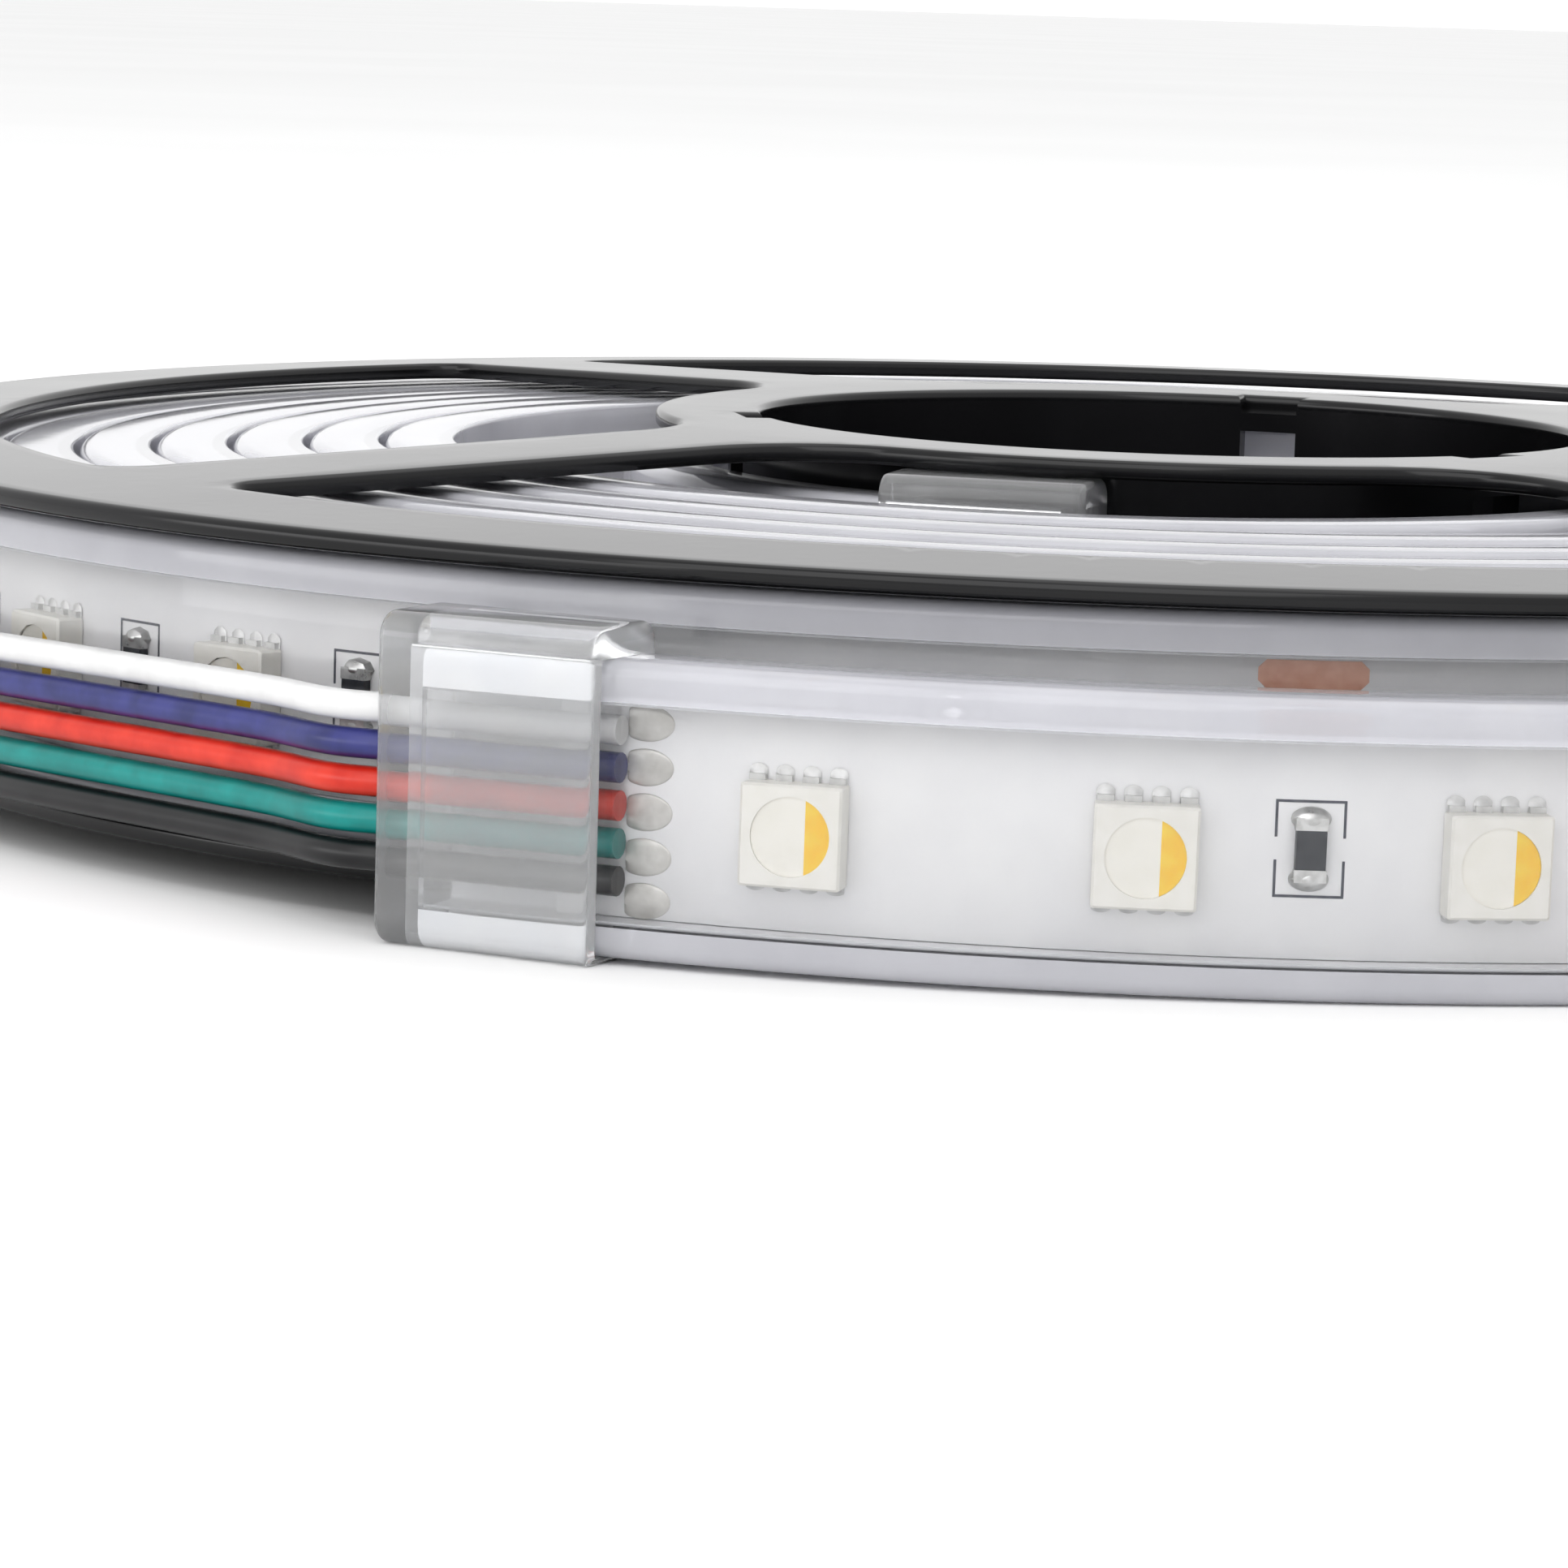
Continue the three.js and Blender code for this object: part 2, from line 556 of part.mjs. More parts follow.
const outerAlong = addCap('outer_end_cap', sleeveStations[0], sleeveStations[1]);
addCap('inner_end_cap', sleeveStations.at(-1), sleeveStations.at(-2));

// Leads

// Inside the cap and sleeve each lead lies on the board's face, its bared end on a solder pad.
function leadEndGeometry(insulationLength) {
  const radius = WIRE_DIAMETER / 2;
  const total = insulationLength + CONDUCTOR_LENGTH;
  const profile = [
    [0, 0], [radius, 0], [radius, insulationLength], [CONDUCTOR_RADIUS, insulationLength],
    [CONDUCTOR_RADIUS, total], [0, total],
  ].map(([r, z]) => new THREE.Vector2(r, z));
  return new THREE.LatheGeometry(profile, WIRE_SIDES).rotateX(Math.PI / 2);
}

// Stretch of lead outside the cap, through the stations of the ribbon
function leadPath(offset) {
  const end = sleeveStations[0];
  const outlet = end.origin.clone().addScaledVector(end.radial, BOARD_FRONT + SOLDER_GAP + WIRE_DIAMETER / 2);
  outlet.addScaledVector(outerAlong, -(CAP_END_WALL + CAP_END_GAP + SEAT_GAP));
  const height = LOWEST_WIRE_HEIGHT + offset;
  outlet.setZ(height);
  const points = [outlet, outlet.clone().addScaledVector(outerAlong, -LEAD_STRAIGHT)];
  for (const [bearing, radius, z, lean] of LEAD_STATIONS) {
    const tilt = THREE.MathUtils.degToRad(lean);
    points.push(polar(radius + offset * Math.sin(tilt), bearing, z + offset * Math.cos(tilt)));
  }
  return new THREE.CatmullRomCurve3(points, false, 'centripetal');
}

function leadGeometry(offset) {
  const section = new THREE.Shape();
  section.absarc(0, 0, WIRE_DIAMETER / 2, 0, 2 * Math.PI, false);
  return new THREE.ExtrudeGeometry(section, {
    extrudePath: leadPath(offset),
    steps: WIRE_STEPS,
    curveSegments: WIRE_SIDES / 2,
    bevelEnabled: false,
  });
}

Object.entries(WIRE_COLOURS).forEach(([colour, hex], i) => {
  const insulation = new THREE.MeshStandardMaterial({ color: hex, roughness: 0.35, metalness: 0 });
  const offset = i * WIRE_SPACING;
  addPart(`lead_${colour}`, leadGeometry(offset), insulation, leads);
  const end = sleeveStations[0];
  const start = end.origin.clone().addScaledVector(end.radial, BOARD_FRONT + SOLDER_GAP + WIRE_DIAMETER / 2);
  const leadEnd = addPart(`lead_end_${colour}`, leadEndGeometry(CAP_GRIP), insulation);
  leadEnd.quaternion.setFromUnitVectors(new THREE.Vector3(0, 0, 1), outerAlong);
  leadEnd.position.copy(start).setZ(LOWEST_WIRE_HEIGHT + offset);
});

// The origin lies under the middle of the reel and strip. The outer turn stands off one side of the rim,
// so the reel's axis is a little away from it.
const middle = new THREE.Box3().setFromObject(reelAndStrip).getCenter(new THREE.Vector3());
assembly.position.set(-middle.x, -middle.y, 0);

export default model;
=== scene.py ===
# LED strip light reel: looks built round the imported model.
# Metres, +Z up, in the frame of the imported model. Bearings are degrees round the reel's axis from +X.

import math

import bmesh
import bpy
import numpy as np
from mathutils import Matrix, Vector
from mathutils.geometry import delaunay_2d_cdt


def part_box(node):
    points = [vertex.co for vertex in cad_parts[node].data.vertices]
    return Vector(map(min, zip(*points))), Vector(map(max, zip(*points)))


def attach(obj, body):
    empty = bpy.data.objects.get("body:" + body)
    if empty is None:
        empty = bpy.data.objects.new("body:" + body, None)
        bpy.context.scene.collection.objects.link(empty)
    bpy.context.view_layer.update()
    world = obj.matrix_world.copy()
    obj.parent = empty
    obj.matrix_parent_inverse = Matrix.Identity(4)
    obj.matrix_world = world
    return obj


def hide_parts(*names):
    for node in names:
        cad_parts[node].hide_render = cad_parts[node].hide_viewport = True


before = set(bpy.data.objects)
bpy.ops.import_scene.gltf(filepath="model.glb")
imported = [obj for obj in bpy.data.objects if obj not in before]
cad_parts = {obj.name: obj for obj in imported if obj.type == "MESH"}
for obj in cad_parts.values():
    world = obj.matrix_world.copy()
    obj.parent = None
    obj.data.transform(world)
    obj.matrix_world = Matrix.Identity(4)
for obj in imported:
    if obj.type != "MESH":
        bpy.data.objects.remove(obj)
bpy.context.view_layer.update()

# Reel
RIM_RADIUS = 0.0818
BORE_RADIUS = 0.0254
HUB_RING_RADIUS = 0.0319
WINDOW_RADIUS = 0.0725
FLANGE_THICKNESS = 0.0011
FLANGE_DISH = 0.0018
DISH_POWER = 1.3
SPOKE_COUNT = 4
SPOKE_WIDTH = 0.0104
FIRST_SPOKE_BEARING = -138.8
HUB_CORNER_RADIUS = 0.0092
RIM_CORNER_RADIUS = 0.0026
HUB_WALL_THICKNESS = 0.0019
HUB_LAP_LENGTH = 0.003
LAP_GAP = 0.0003
KEYWAY_COUNT = 3
KEYWAY_WIDTH = 0.0039
KEYWAY_DEPTH = 0.0014
KEYWAY_BRIDGE = 0.0012
FIRST_KEYWAY_BEARING = 75
REEL_HEIGHT = 0.021
EDGE_RADIUS = 0.0004

# Strip
SLEEVE_HEIGHT = 0.0145
SLEEVE_THICKNESS = 0.0043
SLEEVE_FRONT_CORNER = 0.0008
SLEEVE_BACK_CORNER = 0.0003
SLEEVE_BACK_WALL = 0.001
SLEEVE_FRONT_WALL = 0.0007
CAVITY_CORNER = 0.0002
CAVITY_ROOM = 0.00005
BOARD_TAIL = 2.5
BOARD_CORNER = 0.00003
BOARD_WIDTH = 0.0108
BOARD_BACK = -0.00085
BOARD_FRONT = -0.0005
BOARD_CENTRE = 0.00705
LED_PITCH = 0.016667
LED_DROP = 0.00052
LED_SHIFT = 0.0002

# Coil, counted in degrees of turn from the end of the board that carries the leads
FIRST_LED_BEARING = -101.66
OUTER_STEP = 11.363
OUTER_LEDS = 18
BOARD_START = FIRST_LED_BEARING - OUTER_STEP / 2
ENTRY_START = OUTER_LEDS * OUTER_STEP
ENTRY_END = ENTRY_START + 72
TIGHT_TURN = 2628
TIGHT_END = ENTRY_END + TIGHT_TURN
LOOP_ENTRY = 96
LOOP_EARLY = 20
LOOP_TURN = 324
LOOP_TAIL = 17.6
BOARD_END = TIGHT_END + LOOP_TURN + LOOP_TAIL
OUTER_RADIUS = 0.08426
LEADIN_STAND_OFF = 0.0011
LEADIN_TURN = 34
FLUSH_RADIUS = 0.0792
COIL_PITCH = 0.00465
LOOP_RADIUS = 0.03165
SEAT_HEIGHT = 0.0032
DISH_FOLLOW = 0.85
LOOP_HEIGHT = 0.0037
CAP_LIFT = 0.0003
LIFT_START = 110
TURN_STEP = 2
FINE_STEP = 0.5
CAPPED_RINGS = 3

# Caps
CAP_LENGTH = 0.012
CAP_HEIGHT = 0.0164
CAP_THICKNESS = 0.0065
CAP_FLOOR = 0.0003
CAP_END_WALL = 0.0016
CAP_GRIP = 0.0097
CAP_CORNER = 0.0012
CAP_ROUNDING = 0.0005
CAP_ROUNDING_STEPS = 5
CAP_CORNER_STEPS = 6
CAP_CORNER_SHRINK = 0.6
CAP_ROOM = 0.00002
CAP_LIP = [(0, 0.0003), (0.00006, 0.0001), (0.0002, 0)]

# Leads
WIRE_DIAMETER = 0.0015
WIRE_SPACING = 0.00185
LOWEST_WIRE_HEIGHT = 0.0039
LEAD_STRAIGHT = 0.0035
WIRE_GAP = 0.0001
OUTLET_GAP = 0.0003
TIP_LENGTH = 0.004
TIP_TUCK = 0.001
CONDUCTOR_RADIUS = 0.0005
ROUTE_STEPS = 8
WIRE_COLOURS = ["black", "green", "red", "blue", "white"]

# Stations that the ribbon of leads passes: bearing, distance of its lowest wire from the reel's axis,
# height of that wire, and how far the ribbon leans out from upright, in degrees.
LEAD_STATIONS = [
    (-121.5, 0.08455, 0.00386, 0),
    (-127, 0.0834, 0.0038, 0),
    (-133, 0.0830, 0.0037, 0),
    (-139, 0.0830, 0.00355, 2),
    (-145, 0.0830, 0.00335, 5),
    (-151, 0.0830, 0.0031, 10),
    (-157, 0.0831, 0.0028, 17),
    (-163, 0.0832, 0.0025, 26),
    (-169, 0.0834, 0.00215, 37),
    (-175, 0.0837, 0.0018, 49),
    (-181, 0.0840, 0.00145, 61),
    (-187, 0.0843, 0.00115, 72),
    (-193, 0.0846, 0.00095, 81),
    (-199, 0.0848, 0.00085, 87),
    (-205, 0.0850, 0.0008, 90),
    (-211, 0.0851, 0.0008, 90),
    (-216, 0.0852, 0.0008, 90),
]

# Camera, as fitted to the photograph: place relative to the reel's axis, angles and lens
CAMERA_BACK = 0.345522
CAMERA_HEIGHT = 0.046485
CAMERA_PITCH = 0.14109
CAMERA_YAW = -0.0673
CAMERA_ROLL = 0.0302
CAMERA_LENS = 127.49
SENSOR_WIDTH = 36

MID_PLANE = REEL_HEIGHT / 2
HALF_SLEEVE = SLEEVE_THICKNESS / 2
TOUCH = 1e-6
upper_low, upper_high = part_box("reel_upper_half")
AXIS = (upper_low + upper_high) / 2


# Small geometry helpers

def smooth(t):
    c = min(max(t, 0), 1)
    return c * c * (3 - 2 * c)


def lerp(a, b, t):
    return a + (b - a) * t


def polar(radius, bearing, z=0):
    a = math.radians(bearing)
    return Vector((AXIS.x + radius * math.cos(a), AXIS.y + radius * math.sin(a), z))


def dish_rise(radius):
    t = min(max((radius - HUB_RING_RADIUS) / (RIM_RADIUS - HUB_RING_RADIUS), 0), 1)
    return FLANGE_DISH * (1 - t ** DISH_POWER)


class Gathered:
    """Points and faces of one piece, gathered before they become a mesh."""

    def __init__(self):
        self.points = []
        self.faces = []
        self.slots = []

    def add(self, points, faces, slot=0):
        start = len(self.points)
        self.points += [tuple(p) for p in points]
        self.faces += [[start + i for i in face] for face in faces]
        self.slots += [slot] * len(faces)

    def add_moved(self, other, matrix):
        start = len(self.points)
        self.points += [tuple(matrix @ Vector(p)) for p in other.points]
        self.faces += [[start + i for i in face] for face in other.faces]
        self.slots += other.slots

    def to_mesh(self, name, materials, sharp_angle=40, outward=True):
        mesh = bpy.data.meshes.new(name)
        mesh.from_pydata(self.points, [], self.faces)
        for material in materials:
            mesh.materials.append(material)
        mesh.polygons.foreach_set("material_index", self.slots)
        if outward:
            work = bmesh.new()
            work.from_mesh(mesh)
            bmesh.ops.recalc_face_normals(work, faces=work.faces)
            work.to_mesh(mesh)
            work.free()
        mesh.shade_smooth()
        mesh.set_sharp_from_angle(angle=math.radians(sharp_angle))
        return mesh

    def to_object(self, name, materials, sharp_angle=40, outward=True):
        return place(name, self.to_mesh(name, materials, sharp_angle, outward))


def place(name, data):
    piece = bpy.data.objects.new(name, data)
    bpy.context.scene.collection.objects.link(piece)
    return piece


def skin_faces(rings, count, flip=False, around=True):
    """Quads between rings of count points each."""
    faces = []
    for s in range(rings - 1):
        for k in range(count if around else count - 1):
            a = s * count + k
            b = s * count + (k + 1) % count
            quad = [a, b, b + count, a + count]
            faces.append(quad[::-1] if flip else quad)
    return faces


def closed_skin(rings):
    """Points and faces of a closed tube through rings of points, its ends closed."""
    count = len(rings[0])
    points = [p for ring in rings for p in ring]
    faces = skin_faces(len(rings), count)
    faces.append(list(range(count))[::-1])
    faces.append([(len(rings) - 1) * count + k for k in range(count)])
    return points, faces


def box_shape(x0, x1, y0, y1, z0, z1):
    rings = [[(x0, y0, z), (x1, y0, z), (x1, y1, z), (x0, y1, z)] for z in (z0, z1)]
    return closed_skin(rings)


def rounded_rectangle(x0, x1, y0, y1, corners, steps=4):
    """Outline from the lower right corner round, with one radius for each of its four corners."""
    places = [(x1, y0, -1, 1, -90), (x1, y1, -1, -1, 0), (x0, y1, 1, -1, 90), (x0, y0, 1, 1, 180)]
    outline = []
    for (x, y, dx, dy, start), r in zip(places, corners):
        for i in range(steps + 1):
            a = math.radians(start + 90 * i / steps)
            outline.append((x + dx * r + r * math.cos(a), y + dy * r + r * math.sin(a)))
    return outline


# Materials

def new_material(name):
    material = bpy.data.materials.new(name)
    material.use_nodes = True
    return material, material.node_tree.nodes, material.node_tree.links


def add_noise(nodes, links, scale, detail=4):
    place_node = nodes.new("ShaderNodeTexCoord")
    noise = nodes.new("ShaderNodeTexNoise")
    noise.inputs["Scale"].default_value = scale
    noise.inputs["Detail"].default_value = detail
    links.new(place_node.outputs["Object"], noise.inputs["Vector"])
    return noise.outputs["Fac"]


def add_range(nodes, links, value, low, high):
    spread = nodes.new("ShaderNodeMapRange")
    spread.inputs["To Min"].default_value = low
    spread.inputs["To Max"].default_value = high
    links.new(value, spread.inputs["Value"])
    return spread.outputs["Result"]


def add_ramp(nodes, links, value, stops):
    ramp = nodes.new("ShaderNodeValToRGB")
    elements = ramp.color_ramp.elements
    for element, (at, colour) in zip(elements, stops):
        element.position = at
        element.color = (*colour, 1)
    links.new(value, ramp.inputs["Fac"])
    return ramp.outputs["Color"]


def add_bump(nodes, links, value, strength, distance):
    bump = nodes.new("ShaderNodeBump")
    bump.inputs["Strength"].default_value = strength
    bump.inputs["Distance"].default_value = distance
    links.new(value, bump.inputs["Height"])
    return bump.outputs["Normal"]


def surface(name, dark, light, roughness, scale, bump_scale=0, bump=0, **sockets):
    """A plain surface with a little variation of colour, gloss and relief."""
    material, nodes, links = new_material(name)
    shader = nodes["Principled BSDF"]
    tone = add_noise(nodes, links, scale)
    links.new(add_ramp(nodes, links, tone, [(0.35, dark), (0.65, light)]), shader.inputs["Base Color"])
    links.new(add_range(nodes, links, tone, *roughness), shader.inputs["Roughness"])
    if bump:
        relief = add_noise(nodes, links, bump_scale, 2)
        links.new(add_bump(nodes, links, relief, 1, bump), shader.inputs["Normal"])
    for socket, value in sockets.items():
        shader.inputs[socket.replace("_", " ")].default_value = value
    return material


BLACK_PLASTIC = surface("black_plastic", (0.005, 0.005, 0.0055), (0.009, 0.009, 0.01), (0.13, 0.2),
                        60, 900, 0.000004, Specular_IOR_Level=0.4)
CLEAR_SILICONE = surface("clear_silicone", (0.975, 0.975, 0.985), (0.985, 0.985, 0.99), (0.03, 0.07),
                         150, 220, 0.000006, Transmission_Weight=1, IOR=1.41)
THICK_SILICONE = surface("thick_silicone", (0.71, 0.71, 0.755), (0.77, 0.77, 0.815), (0.05, 0.12),
                         150, 220, 0.000006, Transmission_Weight=0.5, IOR=1.41)
MILKY_SILICONE = surface("milky_silicone", (0.962, 0.97, 0.985), (0.985, 0.988, 0.992), (0.08, 0.15),
                         300, 500, 0.00002, Transmission_Weight=0.87, IOR=1.41)
CLOUDY_SILICONE = surface("cloudy_silicone", (0.92, 0.925, 0.945), (0.96, 0.965, 0.975), (0.25, 0.4),
                          300, 500, 0.00001, Transmission_Weight=0.1, IOR=1.41)
WHITE_BOARD = surface("white_board", (0.88, 0.88, 0.885), (0.92, 0.92, 0.92), (0.35, 0.5),
                      260, 1500, 0.000008)
LED_PINS = surface("led_pins", (0.6, 0.6, 0.59), (0.76, 0.76, 0.75), (0.3, 0.45), 1500, Metallic=0.35)
LED_BODY = surface("led_body", (0.9, 0.885, 0.82), (0.94, 0.925, 0.87), (0.3, 0.42), 900)
LED_RESIN = surface("led_resin", (0.92, 0.9, 0.82), (0.95, 0.93, 0.86), (0.08, 0.16), 700,
                    Coat_Weight=0.5)
LED_PHOSPHOR = surface("led_phosphor", (1.0, 0.6, 0.035), (1.0, 0.7, 0.06), (0.12, 0.2), 900,
                       Coat_Weight=0.5)
SOLDER = surface("solder", (0.42, 0.42, 0.41), (0.62, 0.62, 0.61), (0.2, 0.4), 1500, 2500, 0.00002,
                 Metallic=1)
TINNED_PAD = surface("tinned_pad", (0.52, 0.51, 0.48), (0.68, 0.67, 0.64), (0.25, 0.4), 900, 1500, 0.00002,
                     Metallic=0.3)
COPPER = surface("copper", (0.8, 0.42, 0.29), (0.88, 0.52, 0.38), (0.35, 0.5), 1200, Metallic=0.2)
RESISTOR_BODY = surface("resistor_body", (0.02, 0.024, 0.032), (0.04, 0.045, 0.055), (0.3, 0.45), 1500)
SILK_INK = surface("silk_ink", (0.06, 0.065, 0.09), (0.1, 0.105, 0.13), (0.5, 0.65), 2500)
FLOOR_PAPER = surface("floor_paper", (0.78, 0.78, 0.78), (0.8, 0.8, 0.8), (0.8, 0.9), 3)
INSULATION = {
    "black": surface("insulation_black", (0.007, 0.007, 0.008), (0.013, 0.013, 0.014), (0.25, 0.38), 500),
    "green": surface("insulation_green", (0.0, 0.18, 0.165), (0.0, 0.235, 0.215), (0.25, 0.38), 500),
    "red": surface("insulation_red", (0.5, 0.022, 0.01), (0.62, 0.04, 0.018), (0.25, 0.38), 500),
    "blue": surface("insulation_blue", (0.024, 0.028, 0.12), (0.04, 0.045, 0.19), (0.25, 0.38), 500),
    "white": surface("insulation_white", (0.6, 0.6, 0.6), (0.66, 0.66, 0.66), (0.25, 0.38), 500),
}


# Camera

def add_camera():
    back = Vector((0, -CAMERA_BACK, CAMERA_HEIGHT))
    forward = Vector((
        math.sin(CAMERA_YAW) * math.cos(CAMERA_PITCH),
        math.cos(CAMERA_YAW) * math.cos(CAMERA_PITCH),
        -math.sin(CAMERA_PITCH),
    ))
    level = Vector((math.cos(CAMERA_YAW), -math.sin(CAMERA_YAW), 0))
    upright = level.cross(forward)
    right = math.cos(CAMERA_ROLL) * level + math.sin(CAMERA_ROLL) * upright
    up = -math.sin(CAMERA_ROLL) * level + math.cos(CAMERA_ROLL) * upright
    data = bpy.data.cameras.new("camera")
    data.lens = CAMERA_LENS
    data.sensor_width = SENSOR_WIDTH
    data.clip_start = 0.01
    camera = place("camera", data)
    turned = Matrix((right, up, -forward)).transposed().to_4x4()
    camera.matrix_world = Matrix.Translation(Vector((AXIS.x, AXIS.y, 0)) + back) @ turned
    bpy.context.scene.camera = camera


add_camera()


# Coil path

def coil_radius(turn):
    if turn < ENTRY_START:
        return OUTER_RADIUS + LEADIN_STAND_OFF * (1 - smooth(turn / LEADIN_TURN))
    if turn < ENTRY_END:
        return lerp(OUTER_RADIUS, FLUSH_RADIUS, smooth((turn - ENTRY_START) / (ENTRY_END - ENTRY_START)))
    tight = FLUSH_RADIUS - COIL_PITCH * (min(turn, TIGHT_END) - ENTRY_END) / 360
    return lerp(tight, LOOP_RADIUS, smooth((turn - TIGHT_END + LOOP_EARLY) / (LOOP_ENTRY + LOOP_EARLY)))


def coil_height(turn):
    """Height of the strip's lower edge: on the table outside the rim, then on the lower flange."""
    if turn < LIFT_START:
        return CAP_LIFT * (1 - smooth(turn / LEADIN_TURN))
    if turn < ENTRY_START:
        return SEAT_HEIGHT * smooth((turn - LIFT_START) / (ENTRY_START - LIFT_START))
    dished = SEAT_HEIGHT + DISH_FOLLOW * dish_rise(coil_radius(turn))
    return lerp(dished, LOOP_HEIGHT, smooth((turn - TIGHT_END - LOOP_ENTRY) / LOOP_ENTRY))


FINE_TURNS = np.arange(0, BOARD_END + FINE_STEP / 2, FINE_STEP)
FINE_RADII = np.array([coil_radius(t) for t in FINE_TURNS]) + BOARD_FRONT
FINE_STEPS = np.hypot(np.diff(FINE_RADII),
                      (FINE_RADII[1:] + FINE_RADII[:-1]) / 2 * math.radians(FINE_STEP))
FINE_LENGTHS = np.concatenate([[0], np.cumsum(FINE_STEPS)])
FIRST_LED_AT = float(np.interp(OUTER_STEP / 2, FINE_TURNS, FINE_LENGTHS)) + LED_SHIFT
BOARD_LENGTH = float(FINE_LENGTHS[-1])
FRAME_REACH = 0.001


def turn_at(length):
    return float(np.interp(length, FINE_LENGTHS, FINE_TURNS))


def board_point(length, y, out=0.0):
    """A point at a length along the board's face, a height from its middle line and a distance off it."""
    turn = turn_at(length)
    z = coil_height(turn) + BOARD_CENTRE + y
    return polar(coil_radius(turn) + BOARD_FRONT + out, BOARD_START + turn, z)


def board_frame(length, y=0.0):
    """Matrix of a flat piece on the board: x along the strip, y up, z out of the board."""
    along = (board_point(length + FRAME_REACH, y) - board_point(length - FRAME_REACH, y)).normalized()
    out = along.cross(Vector((0, 0, 1))).normalized()
    up = out.cross(along)
    return Matrix.Translation(board_point(length, y)) @ Matrix((along, up, out)).transposed().to_4x4()


def coil_rings(section, first, last):
    count = math.ceil((last - first) / TURN_STEP)
    rings = []
    for i in range(count + 1):
        turn = lerp(first, last, i / count)
        radius = coil_radius(turn)
        height = coil_height(turn)
        rings.append([polar(radius + x, BOARD_START + turn, height + y) for x, y in section])
    return rings


def split_sides(outline, low, high):
    """The outline with two more points on each of its upright sides, at the heights given."""
    found = []
    for p, q in zip(outline, outline[1:] + outline[:1]):
        found.append(p)
        if abs(q[1] - p[1]) > high - low:
            heights = (low, high) if q[1] > p[1] else (high, low)
            found += [(p[0], y) for y in heights]
    return found


def make_sleeve():
    """The sleeve: clear where the hollow lies behind it, and cloudier through its solid edges."""
    tail = math.degrees(CAP_GRIP / (OUTER_RADIUS + LEADIN_STAND_OFF))
    reach = BOARD_WIDTH / 2 + CAVITY_ROOM
    low, high = BOARD_CENTRE - reach, BOARD_CENTRE + reach
    outer = split_sides(rounded_rectangle(-HALF_SLEEVE, HALF_SLEEVE, 0, SLEEVE_HEIGHT,
                                          [SLEEVE_FRONT_CORNER] * 2 + [SLEEVE_BACK_CORNER] * 2), low, high)
    inner = split_sides(rounded_rectangle(-HALF_SLEEVE + SLEEVE_BACK_WALL, HALF_SLEEVE - SLEEVE_FRONT_WALL,
                                          low, high, [CAVITY_CORNER] * 4),
                        BOARD_CENTRE - reach / 2, BOARD_CENTRE + reach / 2)
    outer_rings = coil_rings(outer, -tail, BOARD_END)
    inner_rings = coil_rings(inner, -tail, BOARD_END)
    count = len(outer)
    rings = len(outer_rings)
    points = [p for ring in outer_rings + inner_rings for p in ring]
    shift = rings * count
    faces = skin_faces(rings, count)
    slots = []
    for section, front, other in ((outer, HALF_SLEEVE, 1), (inner, HALF_SLEEVE - SLEEVE_FRONT_WALL, 2)):
        across = []
        for p, q in zip(section, section[1:] + section[:1]):
            in_front = min(p[0], q[0]) > front - TOUCH
            across.append(in_front and min(p[1], q[1]) > low - TOUCH and max(p[1], q[1]) < high + TOUCH)
        for s in range(rings - 1):
            cloudy = 2 if s < CAPPED_RINGS else other
            slots += [0 if clear else cloudy for clear in across]
    faces += [[i + shift for i in face] for face in skin_faces(rings, count, flip=True)]
    for k in range(count):
        n = (k + 1) % count
        faces.append([k + shift, n + shift, n, k])
        end = (rings - 1) * count
        faces.append([end + k, end + n, end + n + shift, end + k + shift])
    shape = Gathered()
    shape.add(points, faces)
    shape.slots[:len(slots)] = slots
    sleeve = shape.to_object("clear_sleeve", [CLEAR_SILICONE, THICK_SILICONE, CLOUDY_SILICONE], 50)
    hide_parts("silicone_sleeve")
    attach(sleeve, "root")


def make_board():
    section = rounded_rectangle(BOARD_BACK, BOARD_FRONT, BOARD_CENTRE - BOARD_WIDTH / 2,
                                BOARD_CENTRE + BOARD_WIDTH / 2, [BOARD_CORNER] * 4, 1)
    shape = Gathered()
    shape.add(*closed_skin(coil_rings(section, -BOARD_TAIL, BOARD_END)))
    board = shape.to_object("white_flex_board", [WHITE_BOARD], 50)
    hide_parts("flex_board")
    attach(board, "root")


make_sleeve()
make_board()

# Lengths along the board at which the LEDs, resistors and cuts lie
LEDS_PER_SEGMENT = 6
LEDS_BEFORE_FIRST_CUT = 3
GAP_WITHOUT_RESISTOR = 4
CLOSER_LEDS = 14
CLOSER_BY = 0.00028
LED_SIZE = 0.005
LED_HEIGHT = 0.0015
LED_LENS_RADIUS = 0.00195
LED_LENS_DEPTH = 0.00012
LED_BEVEL = 0.00012
LED_SIDE_CORNER = 0.00015
LED_TOP_CORNER = 0.0001
PHOSPHOR_CHORD = 0.00071
PIN_COUNT = 4
PIN_SPACING = 0.00132
PIN_WIDTH = 0.0008
PIN_REACH = {-1: 0.00012, 1: 0.0003}
PIN_THICKNESS = 0.00035
PIN_LIFT = 0.00005
PIN_TUCK = 0.0002
FILLET_REACH = {-1: 0.00042, 1: 0.0008}
FILLET_HEIGHT = 0.0003
FILLET_SPREAD = 1.12
FILLET_EDGE = 0.00002
FILLET_FOOT = 0.00003


def led_lengths():
    """The LEDs along the board, a little closer where it passes from the outer turn to the second."""
    found = []
    at = FIRST_LED_AT
    while at + LED_SIZE / 2 < BOARD_LENGTH:
        found.append(at)
        closer = OUTER_LEDS <= len(found) < OUTER_LEDS + CLOSER_LEDS
        at += LED_PITCH - (CLOSER_BY if closer else 0)
    return found


